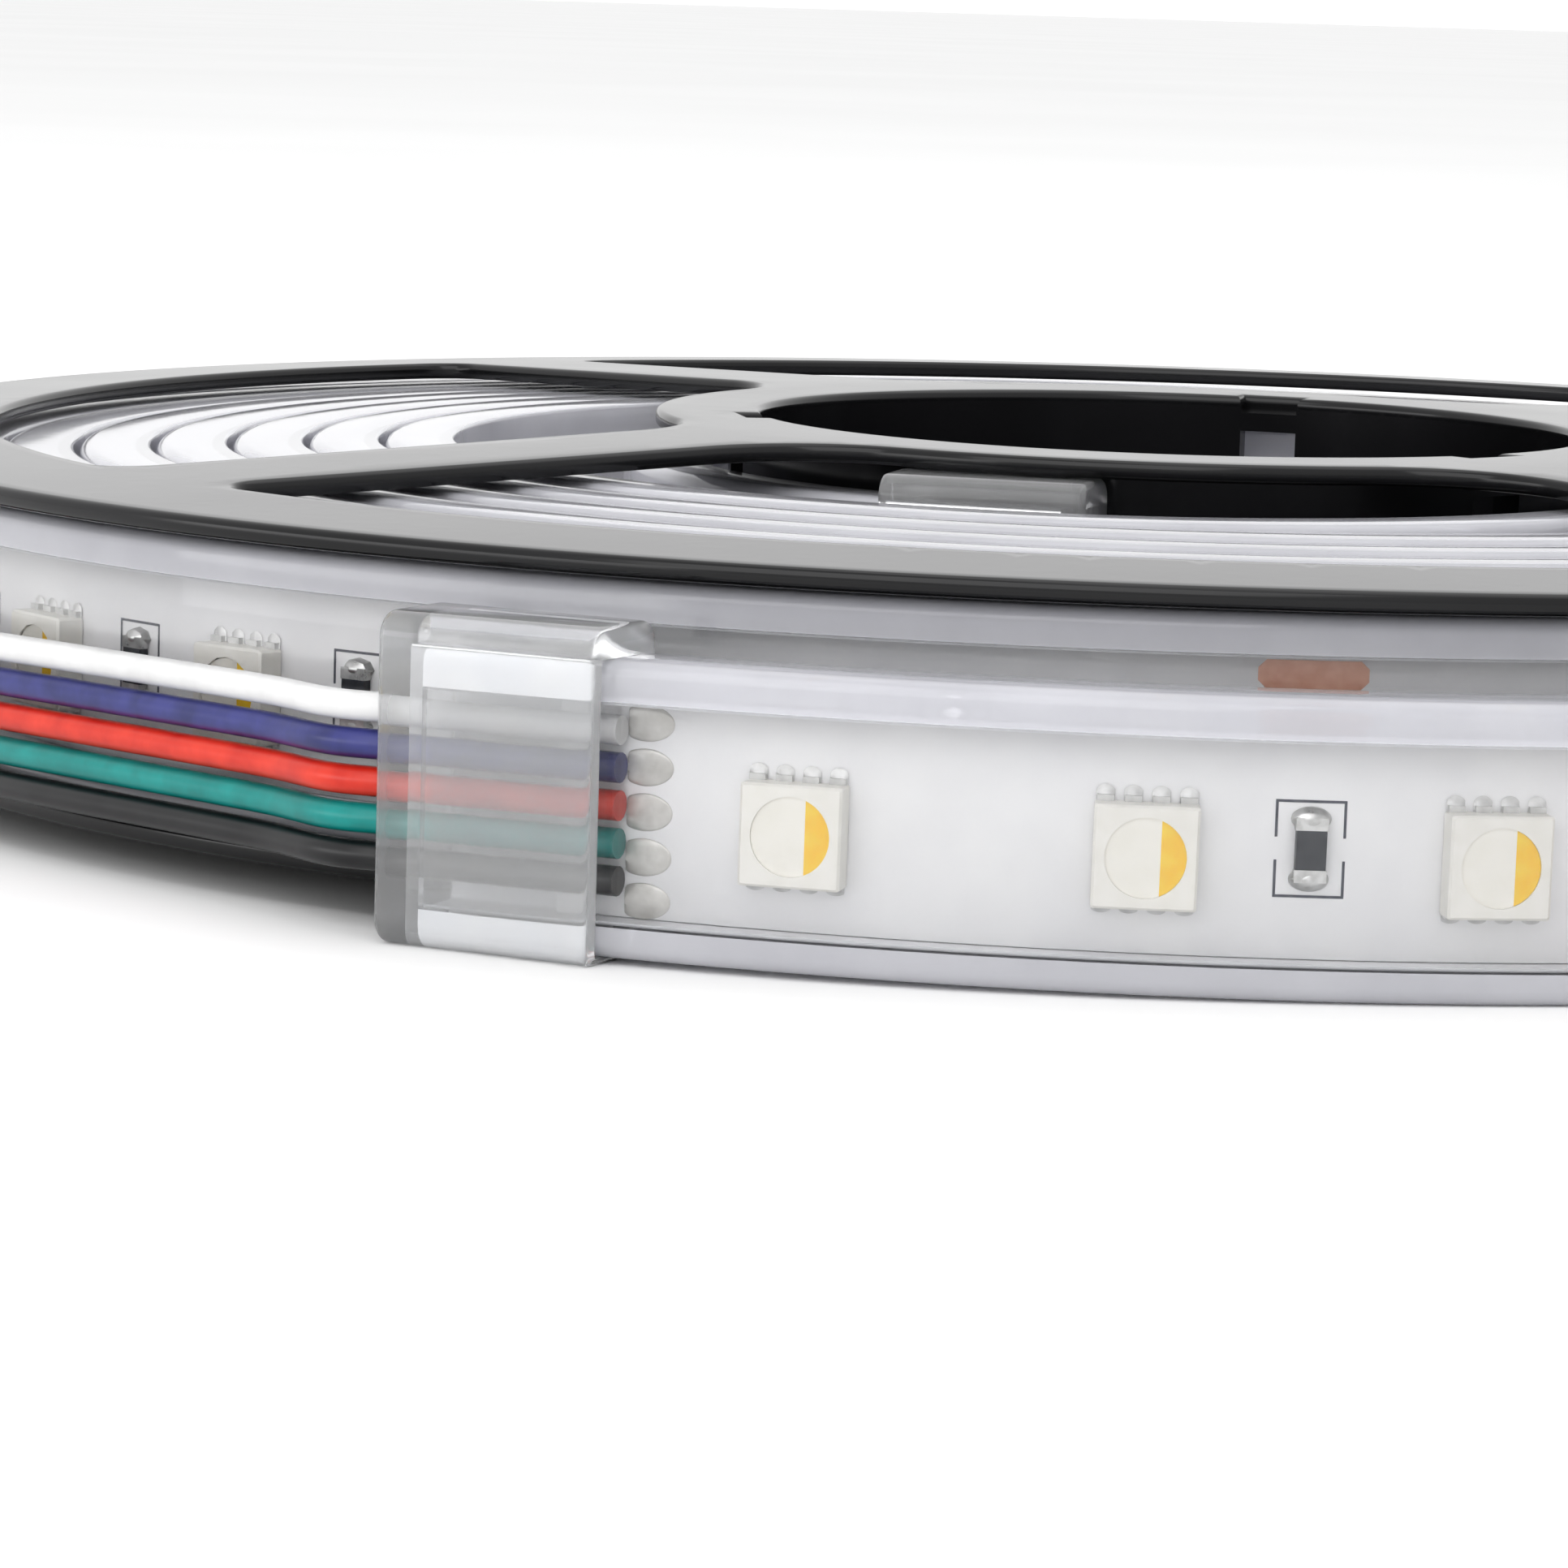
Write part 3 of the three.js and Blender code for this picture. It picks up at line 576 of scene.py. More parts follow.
def place_in_segment(i):
    return (i + LEDS_PER_SEGMENT - LEDS_BEFORE_FIRST_CUT) % LEDS_PER_SEGMENT + 1


def led_shape(fine):
    """LED package: x along the strip, y up, z out of the board. Slots: body, resin, phosphor, solder."""
    shape = Gathered()
    corner_steps = 4 if fine else 1
    half = LED_SIZE / 2
    rounds = rounded_rectangle(-half, half, -half, half, [LED_SIDE_CORNER] * 4, corner_steps)
    inset = half - LED_BEVEL
    top_edge = rounded_rectangle(-inset, inset, -inset, inset, [LED_TOP_CORNER] * 4, corner_steps)
    count = len(rounds)
    steps = 48 if fine else 16
    lens = [(LED_LENS_RADIUS * math.cos(2 * math.pi * i / steps),
             LED_LENS_RADIUS * math.sin(2 * math.pi * i / steps)) for i in range(steps)]
    furthest_inside = (1 + 2 * math.cos(2 * math.pi / steps)) / 3
    nearest_outside = math.cos(math.pi / steps)
    border = LED_LENS_RADIUS * (furthest_inside + nearest_outside) / 2
    rings = [[(x, y, 0) for x, y in rounds],
             [(x, y, LED_HEIGHT - LED_BEVEL) for x, y in rounds],
             [(x, y, LED_HEIGHT) for x, y in top_edge]]
    shape.add([p for ring in rings for p in ring],
              skin_faces(3, count) + [list(range(count))[::-1]])
    flat = [Vector(p) for p in top_edge] + [Vector(p) for p in lens]
    loops = [list(range(count)), list(range(count, len(flat)))]
    edges = [(loop[i], loop[(i + 1) % len(loop)]) for loop in loops for i in range(len(loop))]
    points, _, faces, *_ = delaunay_2d_cdt(flat, edges, [], 0, 1e-9)
    outside = []
    for face in faces:
        middle = sum((points[i] for i in face), Vector((0, 0))) / len(face)
        if middle.length > border:
            outside.append(list(face))
    shape.add([(p.x, p.y, LED_HEIGHT) for p in points], outside)
    depth = LED_HEIGHT - LED_LENS_DEPTH
    wall = [[(x, y, LED_HEIGHT) for x, y in lens], [(x, y, depth) for x, y in lens]]
    shape.add([p for ring in wall for p in ring], skin_faces(2, len(lens)))
    half_angle = math.acos(PHOSPHOR_CHORD / LED_LENS_RADIUS)
    arc = 12 if fine else 4

    def arc_points(start, end, steps):
        angles = [lerp(start, end, i / steps) for i in range(steps + 1)]
        return [(LED_LENS_RADIUS * math.cos(a), LED_LENS_RADIUS * math.sin(a), depth) for a in angles]

    amber = arc_points(-half_angle, half_angle, arc)
    pale = arc_points(half_angle, 2 * math.pi - half_angle, 2 * arc)
    shape.add(pale, [list(range(len(pale)))], 1)
    shape.add(amber, [list(range(len(amber)))], 2)
    for side in (-1, 1):
        for i in range(PIN_COUNT):
            x = (i - (PIN_COUNT - 1) / 2) * PIN_SPACING
            add_pin(shape, x, side, fine)
    return shape


def add_pin(shape, x, side, fine):
    """One lead of the package and the solder that wets it, out to the side in y."""
    half = LED_SIZE / 2
    y0, y1 = sorted((side * (half - PIN_TUCK), side * (half + PIN_REACH[side])))
    shape.add(*box_shape(x - PIN_WIDTH / 2, x + PIN_WIDTH / 2, y0, y1, PIN_LIFT, PIN_THICKNESS), 3)
    across = 8 if fine else 3
    outwards = 5 if fine else 2
    rows = []
    for j in range(outwards + 1):
        v = j / outwards
        row = []
        for i in range(across + 1):
            u = 2 * i / across - 1
            spread = FILLET_SPREAD * PIN_WIDTH / 2
            reach = half + FILLET_REACH[side] * v * math.sqrt(max(0.0, 1 - 0.55 * u * u))
            rise = FILLET_HEIGHT * (1 - v) ** 1.6 * (1 - 0.5 * u * u) + FILLET_FOOT
            row.append((x + u * spread, side * reach, rise if abs(u) < 1 else FILLET_EDGE))
        rows.append(row)
    shape.add([p for row in rows for p in row],
              skin_faces(outwards + 1, across + 1, flip=side < 0, around=False), 3)


LED_MATERIALS = [LED_BODY, LED_RESIN, LED_PHOSPHOR, LED_PINS]
LED_LENGTHS = led_lengths()


def make_leds():
    fine = led_shape(True).to_mesh("led_package", LED_MATERIALS, 35, outward=False)
    for i, length in enumerate(LED_LENGTHS[:OUTER_LEDS]):
        led = place(f"led_package_{i + 1:02d}", fine)
        led.matrix_world = board_frame(length, -LED_DROP)
        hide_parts(f"led_{i + 1:02d}")
        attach(led, "root")
    plain = led_shape(False)
    inner = Gathered()
    for length in LED_LENGTHS[OUTER_LEDS:]:
        inner.add_moved(plain, board_frame(length, -LED_DROP))
    leds = inner.to_object("inner_turn_leds", LED_MATERIALS, 35, outward=False)
    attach(leds, "root")


make_leds()

# Resistors and print beside them
RESISTOR_WIDTH = 0.00155
RESISTOR_LENGTH = 0.0031
RESISTOR_HEIGHT = 0.00055
RESISTOR_BODY_LENGTH = 0.0019
RESISTOR_SIDE = 0.00005
RESISTOR_END_RISE = 0.00003
RESISTOR_FOOT = 0.00002
JOINT_REACH_X = 0.00098
JOINT_REACH_Y = 0.0006
JOINT_BACK = 0.0001
JOINT_RISE = 0.00008
JOINT_FOOT = 0.00001
RESISTOR_AT = 0.0078
BRACKET_WIDTH = 0.0034
BRACKET_HEIGHT = 0.0047
BRACKET_GAP = 0.0011
BRACKET_LINE = 0.00013
INK_THICKNESS = 0.00002


def resistor_shape(fine):
    """Chip resistor standing across the strip. Slots: body, solder."""
    shape = Gathered()
    half = RESISTOR_WIDTH / 2
    body = RESISTOR_BODY_LENGTH / 2
    end = RESISTOR_LENGTH / 2
    shape.add(*box_shape(-half + RESISTOR_SIDE, half - RESISTOR_SIDE, -body, body, RESISTOR_FOOT,
                         RESISTOR_HEIGHT), 0)
    rings = 6 if fine else 2
    around = 20 if fine else 8
    for side in (-1, 1):
        y0, y1 = sorted((side * body, side * end))
        shape.add(*box_shape(-half, half, y0, y1, RESISTOR_FOOT, RESISTOR_HEIGHT + RESISTOR_END_RISE), 1)
        middle = side * (end - JOINT_BACK)
        levels = []
        for j in range(rings + 1):
            a = math.pi / 2 * j / (rings + 0.3)
            levels.append([(JOINT_REACH_X * math.cos(a) * math.cos(2 * math.pi * k / around),
                            middle + JOINT_REACH_Y * math.cos(a) * math.sin(2 * math.pi * k / around),
                            (RESISTOR_HEIGHT + JOINT_RISE) * math.sin(a) + JOINT_FOOT)
                           for k in range(around)])
        shape.add(*closed_skin(levels), 1)
    return shape


def add_patch(shape, length, x0, x1, y0, y1, thickness, slot=0):
    """A thin film on the board that follows its curve."""
    steps = 4
    corners = [(y0, INK_THICKNESS / 2), (y1, INK_THICKNESS / 2), (y1, thickness), (y0, thickness)]
    rings = []
    for i in range(steps + 1):
        at = length + lerp(x0, x1, i / steps)
        rings.append([board_point(at, y, out) for y, out in corners])
    shape.add(*closed_skin(rings), slot)


def add_brackets(shape, length):
    half_w = BRACKET_WIDTH / 2
    half_h = BRACKET_HEIGHT / 2
    line = BRACKET_LINE
    for side in (-1, 1):
        far0, far1 = sorted((side * half_h, side * (half_h - line)))
        add_patch(shape, length, -half_w, half_w, far0, far1, INK_THICKNESS)
        y0, y1 = sorted((side * BRACKET_GAP / 2, side * half_h))
        for x in (-half_w, half_w - line):
            add_patch(shape, length, x, x + line, y0, y1, INK_THICKNESS)


def make_resistors():
    fine = resistor_shape(True).to_mesh("resistor_chip", [RESISTOR_BODY, SOLDER], 35)
    plain = resistor_shape(False)
    inner = Gathered()
    print_marks = Gathered()
    number = 0
    for i, length in enumerate(LED_LENGTHS):
        spot = place_in_segment(i)
        at = length + RESISTOR_AT
        if spot == GAP_WITHOUT_RESISTOR or spot == LEDS_PER_SEGMENT or at > BOARD_LENGTH - BRACKET_WIDTH:
            continue
        add_brackets(print_marks, at)
        if i < OUTER_LEDS:
            number += 1
            resistor = place(f"resistor_chip_{number:02d}", fine)
            resistor.matrix_world = board_frame(at)
            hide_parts(f"resistor_{number:02d}")
            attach(resistor, "root")
        else:
            inner.add_moved(plain, board_frame(at))
    resistors = inner.to_object("inner_turn_resistors", [RESISTOR_BODY, SOLDER], 35)
    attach(resistors, "root")
    marks = print_marks.to_object("board_print", [SILK_INK], 35)
    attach(marks, "root")


make_resistors()

# Copper cut pads between segments, and the soldered pads of the leads
PAD_SPACING = 0.0022
PAD_HEIGHT = 0.00145
PAD_LENGTH = 0.0054
PAD_MIDDLE = -0.0001
PAD_FILM = 0.00003
PAD_CHAMFER = 0.0004
SOLDER_PAD_AT = 0.0009
SOLDER_PAD_LENGTH = 0.0029
SOLDER_PAD_HEIGHT = 0.00185
SOLDER_RISE = 0.00013
SOLDER_FOOT = 0.00001


def make_cut_pads():
    pads = Gathered()
    for i, length in enumerate(LED_LENGTHS):
        middle = length + LED_PITCH / 2
        if place_in_segment(i) != LEDS_PER_SEGMENT or middle + PAD_LENGTH > BOARD_LENGTH:
            continue
        for row in range(-2, 3):
            y = PAD_MIDDLE + row * PAD_SPACING
            rings = []
            end, full = PAD_LENGTH / 2, PAD_HEIGHT / 2
            for x, half in ((-end, full - PAD_CHAMFER), (-end + PAD_CHAMFER, full), (0, full),
                            (end - PAD_CHAMFER, full), (end, full - PAD_CHAMFER)):
                corners = ((-half, INK_THICKNESS / 2), (half, INK_THICKNESS / 2), (half, PAD_FILM),
                           (-half, PAD_FILM))
                rings.append([board_point(middle + x, y + dy, out) for dy, out in corners])
            pads.add(*closed_skin(rings))
    copper = pads.to_object("cut_pads", [COPPER], 35)
    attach(copper, "root")


def make_solder_pads():
    blobs = Gathered()
    rings = 8
    around = 32
    for row in range(-2, 3):
        y = PAD_MIDDLE + row * PAD_SPACING
        levels = []
        for j in range(rings + 1):
            a = math.pi / 2 * j / (rings + 0.2)
            level = []
            for k in range(around):
                b = 2 * math.pi * k / around
                x = SOLDER_PAD_AT + SOLDER_PAD_LENGTH / 2 * math.cos(a) * math.cos(b)
                dy = SOLDER_PAD_HEIGHT / 2 * math.cos(a) * math.sin(b)
                level.append(board_point(x, y + dy, SOLDER_RISE * math.sin(a) + SOLDER_FOOT))
            levels.append(level)
        blobs.add(*closed_skin(levels))
    solder = blobs.to_object("lead_solder", [TINNED_PAD], 50)
    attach(solder, "root")


make_cut_pads()
make_solder_pads()


# Reel halves
SAME_POINT = 0.00005
BORE_STEPS = 40
RIM_STEPS = 360
EDGE_SHARES = (0, 0.08, 0.3, 0.62, 1)
GRID_RINGS = 48
GRID_SPACING = 0.0018
GRID_LEAST = 120
GRID_ROOM = 0.0006
FAR_FROM_EDGE = 1.0
BRIDGE_STEPS = 6
WALL_STEPS = 60


def window_outline(grow):
    """One window, centred on +X, with its edge moved out by grow. Points about 1 mm apart."""
    sector = math.pi / SPOKE_COUNT
    half_spoke = SPOKE_WIDTH / 2
    outer_centre = WINDOW_RADIUS - RIM_CORNER_RADIUS
    outer_angle = sector - math.asin((half_spoke + RIM_CORNER_RADIUS) / outer_centre)
    inner_centre = HUB_RING_RADIUS + HUB_CORNER_RADIUS
    inner_angle = sector - math.asin((half_spoke + HUB_CORNER_RADIUS) / inner_centre)
    side = math.pi / 2 + sector
    arcs = [
        ((0, 0), WINDOW_RADIUS + grow, -outer_angle, outer_angle, 90),
        ((outer_centre, outer_angle), RIM_CORNER_RADIUS + grow, outer_angle, side, 10),
        ((inner_centre, inner_angle), HUB_CORNER_RADIUS + grow, side, math.pi + inner_angle, 14),
        ((0, 0), HUB_RING_RADIUS - grow, inner_angle, -inner_angle, 24),
        ((inner_centre, -inner_angle), HUB_CORNER_RADIUS + grow, math.pi - inner_angle,
         2 * math.pi - side, 14),
        ((outer_centre, -outer_angle), RIM_CORNER_RADIUS + grow, -side, -outer_angle, 10),
    ]
    outline = []
    for (distance, angle), radius, start, end, steps in arcs:
        cx, cy = distance * math.cos(angle), distance * math.sin(angle)
        for i in range(steps + 1):
            a = lerp(start, end, i / steps)
            outline.append((cx + radius * math.cos(a), cy + radius * math.sin(a)))
    kept = [outline[0]]
    for p in outline[1:]:
        if math.dist(p, kept[-1]) > SAME_POINT:
            kept.append(p)
    if math.dist(kept[0], kept[-1]) < SAME_POINT:
        kept.pop()
    return kept


def bore_outline(grow):
    """The bore with its keyways, its edge moved into the plastic by grow."""
    radius = BORE_RADIUS + grow
    half = KEYWAY_WIDTH / 2 + grow
    notch = math.asin(half / radius)
    outline = []
    for i in range(KEYWAY_COUNT):
        middle = math.radians(FIRST_KEYWAY_BEARING + 360 / KEYWAY_COUNT * i)
        far = BORE_RADIUS + KEYWAY_DEPTH + grow
        near = radius * math.cos(notch)
        for distance, y in ((near, -half), (far, -half), (far, half), (near, half)):
            outline.append((distance * math.cos(middle) - y * math.sin(middle),
                            distance * math.sin(middle) + y * math.cos(middle)))
        following = middle + 2 * math.pi / KEYWAY_COUNT
        for k in range(1, BORE_STEPS):
            a = lerp(middle + notch, following - notch, k / BORE_STEPS)
            outline.append((radius * math.cos(a), radius * math.sin(a)))
    return outline


def turned(outline, bearing):
    c, s = math.cos(math.radians(bearing)), math.sin(math.radians(bearing))
    return [(x * c - y * s, x * s + y * c) for x, y in outline]


def edge_drop(distance):
    """How far the face falls towards the flange's middle near its rounded edge."""
    if distance >= EDGE_RADIUS:
        return 0
    return EDGE_RADIUS - math.sqrt(max(0, EDGE_RADIUS ** 2 - (EDGE_RADIUS - distance) ** 2))


def inside(points, outline):
    """Which of the points lie inside an outline."""
    ring = np.array(outline)
    x0, y0 = ring[:, 0], ring[:, 1]
    x1, y1 = np.roll(x0, -1), np.roll(y0, -1)
    px, py = points[:, 0:1], points[:, 1:2]
    crosses = (y0 > py) != (y1 > py)
    with np.errstate(divide="ignore", invalid="ignore"):
        at = x0 + (py - y0) * (x1 - x0) / (y1 - y0)
    return (crosses & (px < at)).sum(axis=1) % 2 == 1


def flange_plan():
    """Triangles of the flange seen from above, and how far each point lies from the nearest edge."""
    bearings = [FIRST_SPOKE_BEARING + 360 / SPOKE_COUNT * (i + 0.5) for i in range(SPOKE_COUNT)]
    loops = []
    for share in EDGE_SHARES:
        inset = EDGE_RADIUS * share
        r = RIM_RADIUS - inset
        rim = [(r * math.cos(2 * math.pi * k / RIM_STEPS), r * math.sin(2 * math.pi * k / RIM_STEPS))
               for k in range(RIM_STEPS)]
        loops.append((inset, rim))
        loops.append((inset, bore_outline(inset)))
        for bearing in bearings:
            loops.append((inset, turned(window_outline(inset), bearing)))
    points = []
    edges = []
    distances = []
    for inset, loop in loops:
        start = len(points)
        points += [Vector(p) for p in loop]
        distances += [inset] * len(loop)
        edges += [(start + i, start + (i + 1) % len(loop)) for i in range(len(loop))]
    clear = EDGE_RADIUS + GRID_ROOM
    grid = []
    for ring in range(1, GRID_RINGS):
        r = lerp(BORE_RADIUS, RIM_RADIUS, ring / GRID_RINGS)
        steps = max(GRID_LEAST, int(2 * math.pi * r / GRID_SPACING))
        grid += [(r * math.cos(2 * math.pi * (k + ring % 2 / 2) / steps),
                  r * math.sin(2 * math.pi * (k + ring % 2 / 2) / steps)) for k in range(steps)]
    grid = np.array(grid)
    radii = np.hypot(grid[:, 0], grid[:, 1])
    keep = (radii < RIM_RADIUS - clear) & ~inside(grid, bore_outline(clear))
    for bearing in bearings:
        keep &= ~inside(grid, turned(window_outline(clear), bearing))
    points += [Vector(p) for p in grid[keep]]
    distances += [FAR_FROM_EDGE] * int(keep.sum())
    flat, _, faces, source, *_ = delaunay_2d_cdt(points, edges, [], 0, 1e-9)
    flat_distance = [min(distances[i] for i in origin) if origin else FAR_FROM_EDGE for origin in source]
    middles = np.array([[sum(flat[i].x for i in f) / 3, sum(flat[i].y for i in f) / 3] for f in faces])
    solid = (np.hypot(middles[:, 0], middles[:, 1]) < RIM_RADIUS) & ~inside(middles, bore_outline(0))
    for bearing in bearings:
        solid &= ~inside(middles, turned(window_outline(0), bearing))
    return flat, flat_distance, [f for f, s in zip(faces, solid) if s]


def tube_sector(shape, profile, start, end, steps):
    """A closed block: a profile of (radius, height) turned from one bearing to another."""
    rings = []
    for i in range(steps + 1):
        bearing = lerp(start, end, i / steps)
        rings.append([polar(r, bearing, z) for r, z in profile])
    shape.add(*closed_skin(rings))


def make_reel_half(name, node, plan, upper):
    """A reel half. The upper one is the lower one turned over."""
    flat, distances, faces = plan

    def height(z):
        return REEL_HEIGHT - z if upper else z

    shape = Gathered()
    count = len(flat)
    points = []
    for thickness, side in ((0, 1), (FLANGE_THICKNESS, -1)):
        for p, distance in zip(flat, distances):
            r = p.length
            z = FLANGE_DISH - dish_rise(r) + thickness + side * edge_drop(distance)
            points.append((AXIS.x + p.x, AXIS.y + p.y, height(z)))
    skins = [list(f)[::-1] for f in faces] + [[i + count for i in f] for f in faces]
    sides = [(f[k], f[(k + 1) % 3]) for f in faces for k in range(3)]
    used = set(sides)
    skins += [[a, b, b + count, a + count] for a, b in sides if (b, a) not in used]
    shape.add(points, skins)
    wall = BORE_RADIUS + HUB_WALL_THICKNESS
    lap = BORE_RADIUS + HUB_WALL_THICKNESS / 2
    shoulder = MID_PLANE - LAP_GAP / 2
    base = KEYWAY_BRIDGE + FLANGE_THICKNESS
    low = FLANGE_THICKNESS / 2
    if upper:
        tall = [(wall, shoulder - HUB_LAP_LENGTH), (lap - LAP_GAP / 2, shoulder - HUB_LAP_LENGTH),
                (lap - LAP_GAP / 2, shoulder), (BORE_RADIUS, shoulder)]
    else:
        tall = [(wall, shoulder + HUB_LAP_LENGTH), (lap + LAP_GAP / 2, shoulder + HUB_LAP_LENGTH),
                (lap + LAP_GAP / 2, shoulder), (BORE_RADIUS, shoulder)]
    half_slot = math.degrees(math.asin(KEYWAY_WIDTH / 2 / (BORE_RADIUS + HUB_WALL_THICKNESS / 2)))
    for i in range(KEYWAY_COUNT):
        start = FIRST_KEYWAY_BEARING + 360 / KEYWAY_COUNT * i
        end = start + 360 / KEYWAY_COUNT
        bridge = [(BORE_RADIUS + KEYWAY_DEPTH, low), (wall, low), (wall, base), (BORE_RADIUS, base),
                  (BORE_RADIUS, FLANGE_THICKNESS), (BORE_RADIUS + KEYWAY_DEPTH, FLANGE_THICKNESS)]
        tube_sector(shape, [(r, height(z)) for r, z in bridge], start - half_slot, start + half_slot,
                    BRIDGE_STEPS)
        profile = [(BORE_RADIUS, low), (wall, low)] + tall
        tube_sector(shape, [(r, height(z)) for r, z in profile], start + half_slot, end - half_slot,
                    WALL_STEPS)
    half = shape.to_object(name, [BLACK_PLASTIC], 35)
    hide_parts(node)
    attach(half, "root")


plan = flange_plan()
make_reel_half("reel_lower", "reel_lower_half", plan, False)
make_reel_half("reel_upper", "reel_upper_half", plan, True)


# End caps

def cap_shape():
    """A cup of silicone: x across the strip, y up from the cap's foot, z along it from the closed end."""
    half = CAP_THICKNESS / 2

    def outline(inset):
        return rounded_rectangle(-half + inset, half - inset, inset, CAP_HEIGHT - inset,
                                 [CAP_CORNER - inset * CAP_CORNER_SHRINK] * 4, CAP_CORNER_STEPS)

    hole = rounded_rectangle(-HALF_SLEEVE - CAP_ROOM, HALF_SLEEVE + CAP_ROOM, CAP_FLOOR - CAP_ROOM,
                             CAP_FLOOR + SLEEVE_HEIGHT + CAP_ROOM,
                             [SLEEVE_FRONT_CORNER] * 2 + [SLEEVE_BACK_CORNER] * 2, CAP_CORNER_STEPS)
    levels = []
    for i in range(CAP_ROUNDING_STEPS + 1):
        a = math.pi / 2 * i / CAP_ROUNDING_STEPS
        levels.append((CAP_ROUNDING * (1 - math.sin(a)), CAP_ROUNDING * (1 - math.cos(a))))
    levels += [(inset, CAP_LENGTH - before) for inset, before in CAP_LIP]
    rings = [[(x, y, depth) for x, y in outline(inset)] for inset, depth in levels]
    rings += [[(x, y, depth) for x, y in hole] for depth in (CAP_LENGTH, CAP_END_WALL)]
    shape = Gathered()
    shape.add(*closed_skin(rings))
    return shape


def make_cap(name, node, end_turn, direction):
    """A cap over the end of the sleeve, which runs from end_turn in the given direction of turn."""
    def middle(turn):
        return polar(coil_radius(turn), BOARD_START + turn, coil_height(turn))

    along = middle(end_turn + direction * FINE_STEP) - middle(end_turn)
    along.z = 0
    along.normalize()
    up = Vector((0, 0, 1))
    across = up.cross(along)
    rotation = Matrix((across, up, along)).transposed().to_4x4()
    cap = cap_shape().to_object(name, [MILKY_SILICONE], 50)
    foot = middle(end_turn) - along * (CAP_LENGTH - CAP_GRIP)
    foot.z = coil_height(end_turn) - CAP_FLOOR
    cap.matrix_world = Matrix.Translation(foot) @ rotation
    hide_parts(node)
    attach(cap, "root")


OUTER_TAIL = math.degrees(CAP_GRIP / (OUTER_RADIUS + LEADIN_STAND_OFF))
make_cap("outer_cap", "outer_end_cap", -OUTER_TAIL, 1)
make_cap("inner_cap", "inner_end_cap", BOARD_END, -1)


# Leads

def outer_end():
    """Where the sleeve starts, its outward direction, and the direction along the strip from there."""
    turn = -OUTER_TAIL
    start = polar(coil_radius(turn), BOARD_START + turn, coil_height(turn))
    radial = (polar(1, BOARD_START + turn) - polar(0, 0)).normalized()
    following = polar(coil_radius(0), BOARD_START, coil_height(0))
    along = following - start
    along.z = 0
    return start, radial, along.normalized()


def lead_outlet(offset, beyond):
    """A point on a lead's straight stretch, a distance outside the cap."""
    start, radial, along = outer_end()
    face = start + radial * (BOARD_FRONT + WIRE_GAP + WIRE_DIAMETER / 2)
    point = face - along * (CAP_LENGTH - CAP_GRIP + beyond)
    point.z = LOWEST_WIRE_HEIGHT + offset
    return point


def lead_route(offset):
    points = [lead_outlet(offset, OUTLET_GAP), lead_outlet(offset, OUTLET_GAP + LEAD_STRAIGHT)]
    for bearing, radius, z, lean in LEAD_STATIONS:
        tilt = math.radians(lean)
        points.append(polar(radius + offset * math.sin(tilt), bearing, z + offset * math.cos(tilt)))
    return points


def centripetal(points, steps):
    """A smooth curve through the points, as a list of close points."""
    padded = [2 * points[0] - points[1], *points, 2 * points[-1] - points[-2]]
    found = []
    for p0, p1, p2, p3 in zip(padded, padded[1:], padded[2:], padded[3:]):
        t1 = math.sqrt((p1 - p0).length)
        t2 = t1 + math.sqrt((p2 - p1).length)
        t3 = t2 + math.sqrt((p3 - p2).length)
        for i in range(steps):
            t = lerp(t1, t2, i / steps)
            a1 = p0 * (t1 - t) / t1 + p1 * t / t1
            a2 = p1 * (t2 - t) / (t2 - t1) + p2 * (t - t1) / (t2 - t1)
            a3 = p2 * (t3 - t) / (t3 - t2) + p3 * (t - t2) / (t3 - t2)
            b1 = a1 * (t2 - t) / t2 + a2 * t / t2
            b2 = a2 * (t3 - t) / (t3 - t1) + a3 * (t - t1) / (t3 - t1)
            found.append(b1 * (t2 - t) / (t2 - t1) + b2 * (t - t1) / (t2 - t1))
    found.append(points[-1])
    return found


def wire_curve(name, points, radius, material):
    data = bpy.data.curves.new(name, "CURVE")
    data.dimensions = "3D"
    data.bevel_depth = radius
    data.bevel_resolution = 5
    data.use_fill_caps = True
    spline = data.splines.new("POLY")
    spline.points.add(len(points) - 1)
    for point, place_at in zip(spline.points, points):
        point.co = (*place_at, 1)
    spline.use_smooth = True
    data.materials.append(material)
    return place(name, data)


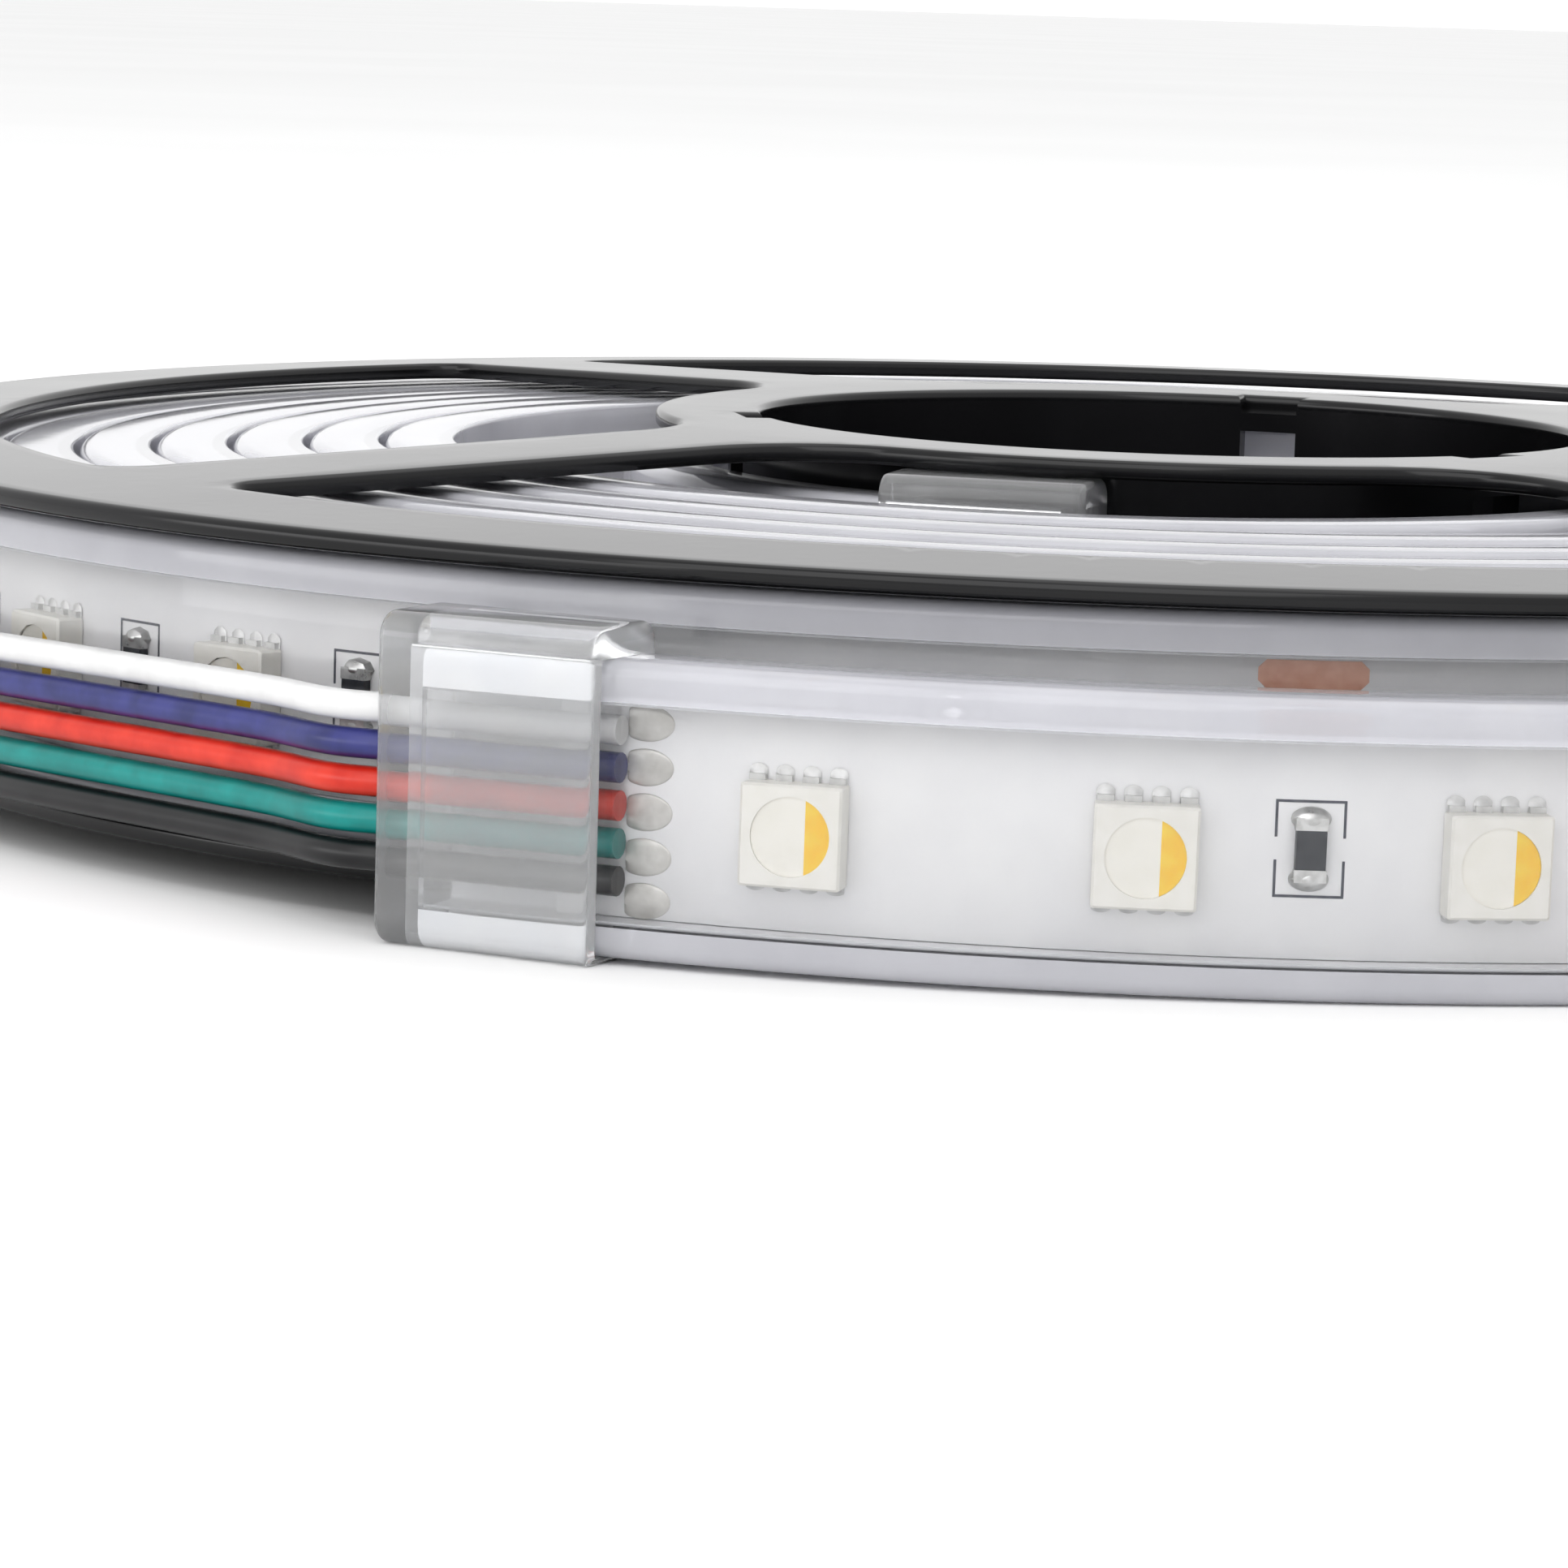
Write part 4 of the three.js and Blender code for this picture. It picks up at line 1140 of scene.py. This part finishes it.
def make_lead(colour, offset):
    route = centripetal(lead_route(offset), ROUTE_STEPS)
    lead = wire_curve(f"wire_{colour}", route, WIRE_DIAMETER / 2, INSULATION[colour])
    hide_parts(f"lead_{colour}")
    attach(lead, "root")
    heading = (route[-1] - route[-2]).normalized()
    tip = wire_curve(f"wire_tip_{colour}",
                     [route[-1] - heading * TIP_TUCK, route[-1] + heading * TIP_LENGTH],
                     CONDUCTOR_RADIUS, SOLDER)
    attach(tip, "root")
    inner_start = lead_outlet(offset, OUTLET_GAP)
    *_, along = outer_end()
    inner_end = inner_start + along * (CAP_LENGTH + OUTLET_GAP)
    end = wire_curve(f"wire_end_{colour}", [inner_start, inner_end], WIRE_DIAMETER / 2,
                     INSULATION[colour])
    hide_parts(f"lead_end_{colour}")
    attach(end, "root")


for number, colour in enumerate(WIRE_COLOURS):
    make_lead(colour, number * WIRE_SPACING)


# Floor and light. Each lamp: name, place, aim, width and height, power.
FLOOR_REACH = 20
WORLD_STRENGTH = 0.95
LAMPS = [
    ("key_light", (-0.3, -1.0, 0.75), (0, 0, 0), (1.2, 1.2), 6),
    ("top_light", (0.3, 0.1, 1.2), (0, 0, 0), (1.2, 1.2), 3),
    ("left_fill", (-0.9, -0.5, 0.14), (-0.05, 0, 0.01), (0.9, 0.26), 1.3),
]


def add_floor():
    shape = Gathered()
    shape.add([(-FLOOR_REACH, -FLOOR_REACH, 0), (FLOOR_REACH, -FLOOR_REACH, 0),
               (FLOOR_REACH, FLOOR_REACH, 0), (-FLOOR_REACH, FLOOR_REACH, 0)], [[0, 1, 2, 3]])
    floor = shape.to_object("floor", [FLOOR_PAPER], outward=False)


def add_area(name, place_at, aim, size, power):
    data = bpy.data.lights.new(name, "AREA")
    data.shape = "RECTANGLE"
    data.size, data.size_y = size
    data.energy = power
    light = place(name, data)
    light.location = place_at
    direction = Vector(aim) - Vector(place_at)
    light.rotation_euler = direction.to_track_quat("-Z", "Y").to_euler()


def add_light():
    world = bpy.data.worlds.new("studio")
    world.use_nodes = True
    backdrop = world.node_tree.nodes["Background"]
    backdrop.inputs["Color"].default_value = (1, 1, 1, 1)
    backdrop.inputs["Strength"].default_value = WORLD_STRENGTH
    bpy.context.scene.world = world
    for lamp in LAMPS:
        add_area(*lamp)
    bpy.context.scene.view_settings.view_transform = "Standard"
    bpy.context.scene.view_settings.look = "Medium High Contrast"


add_floor()
add_light()
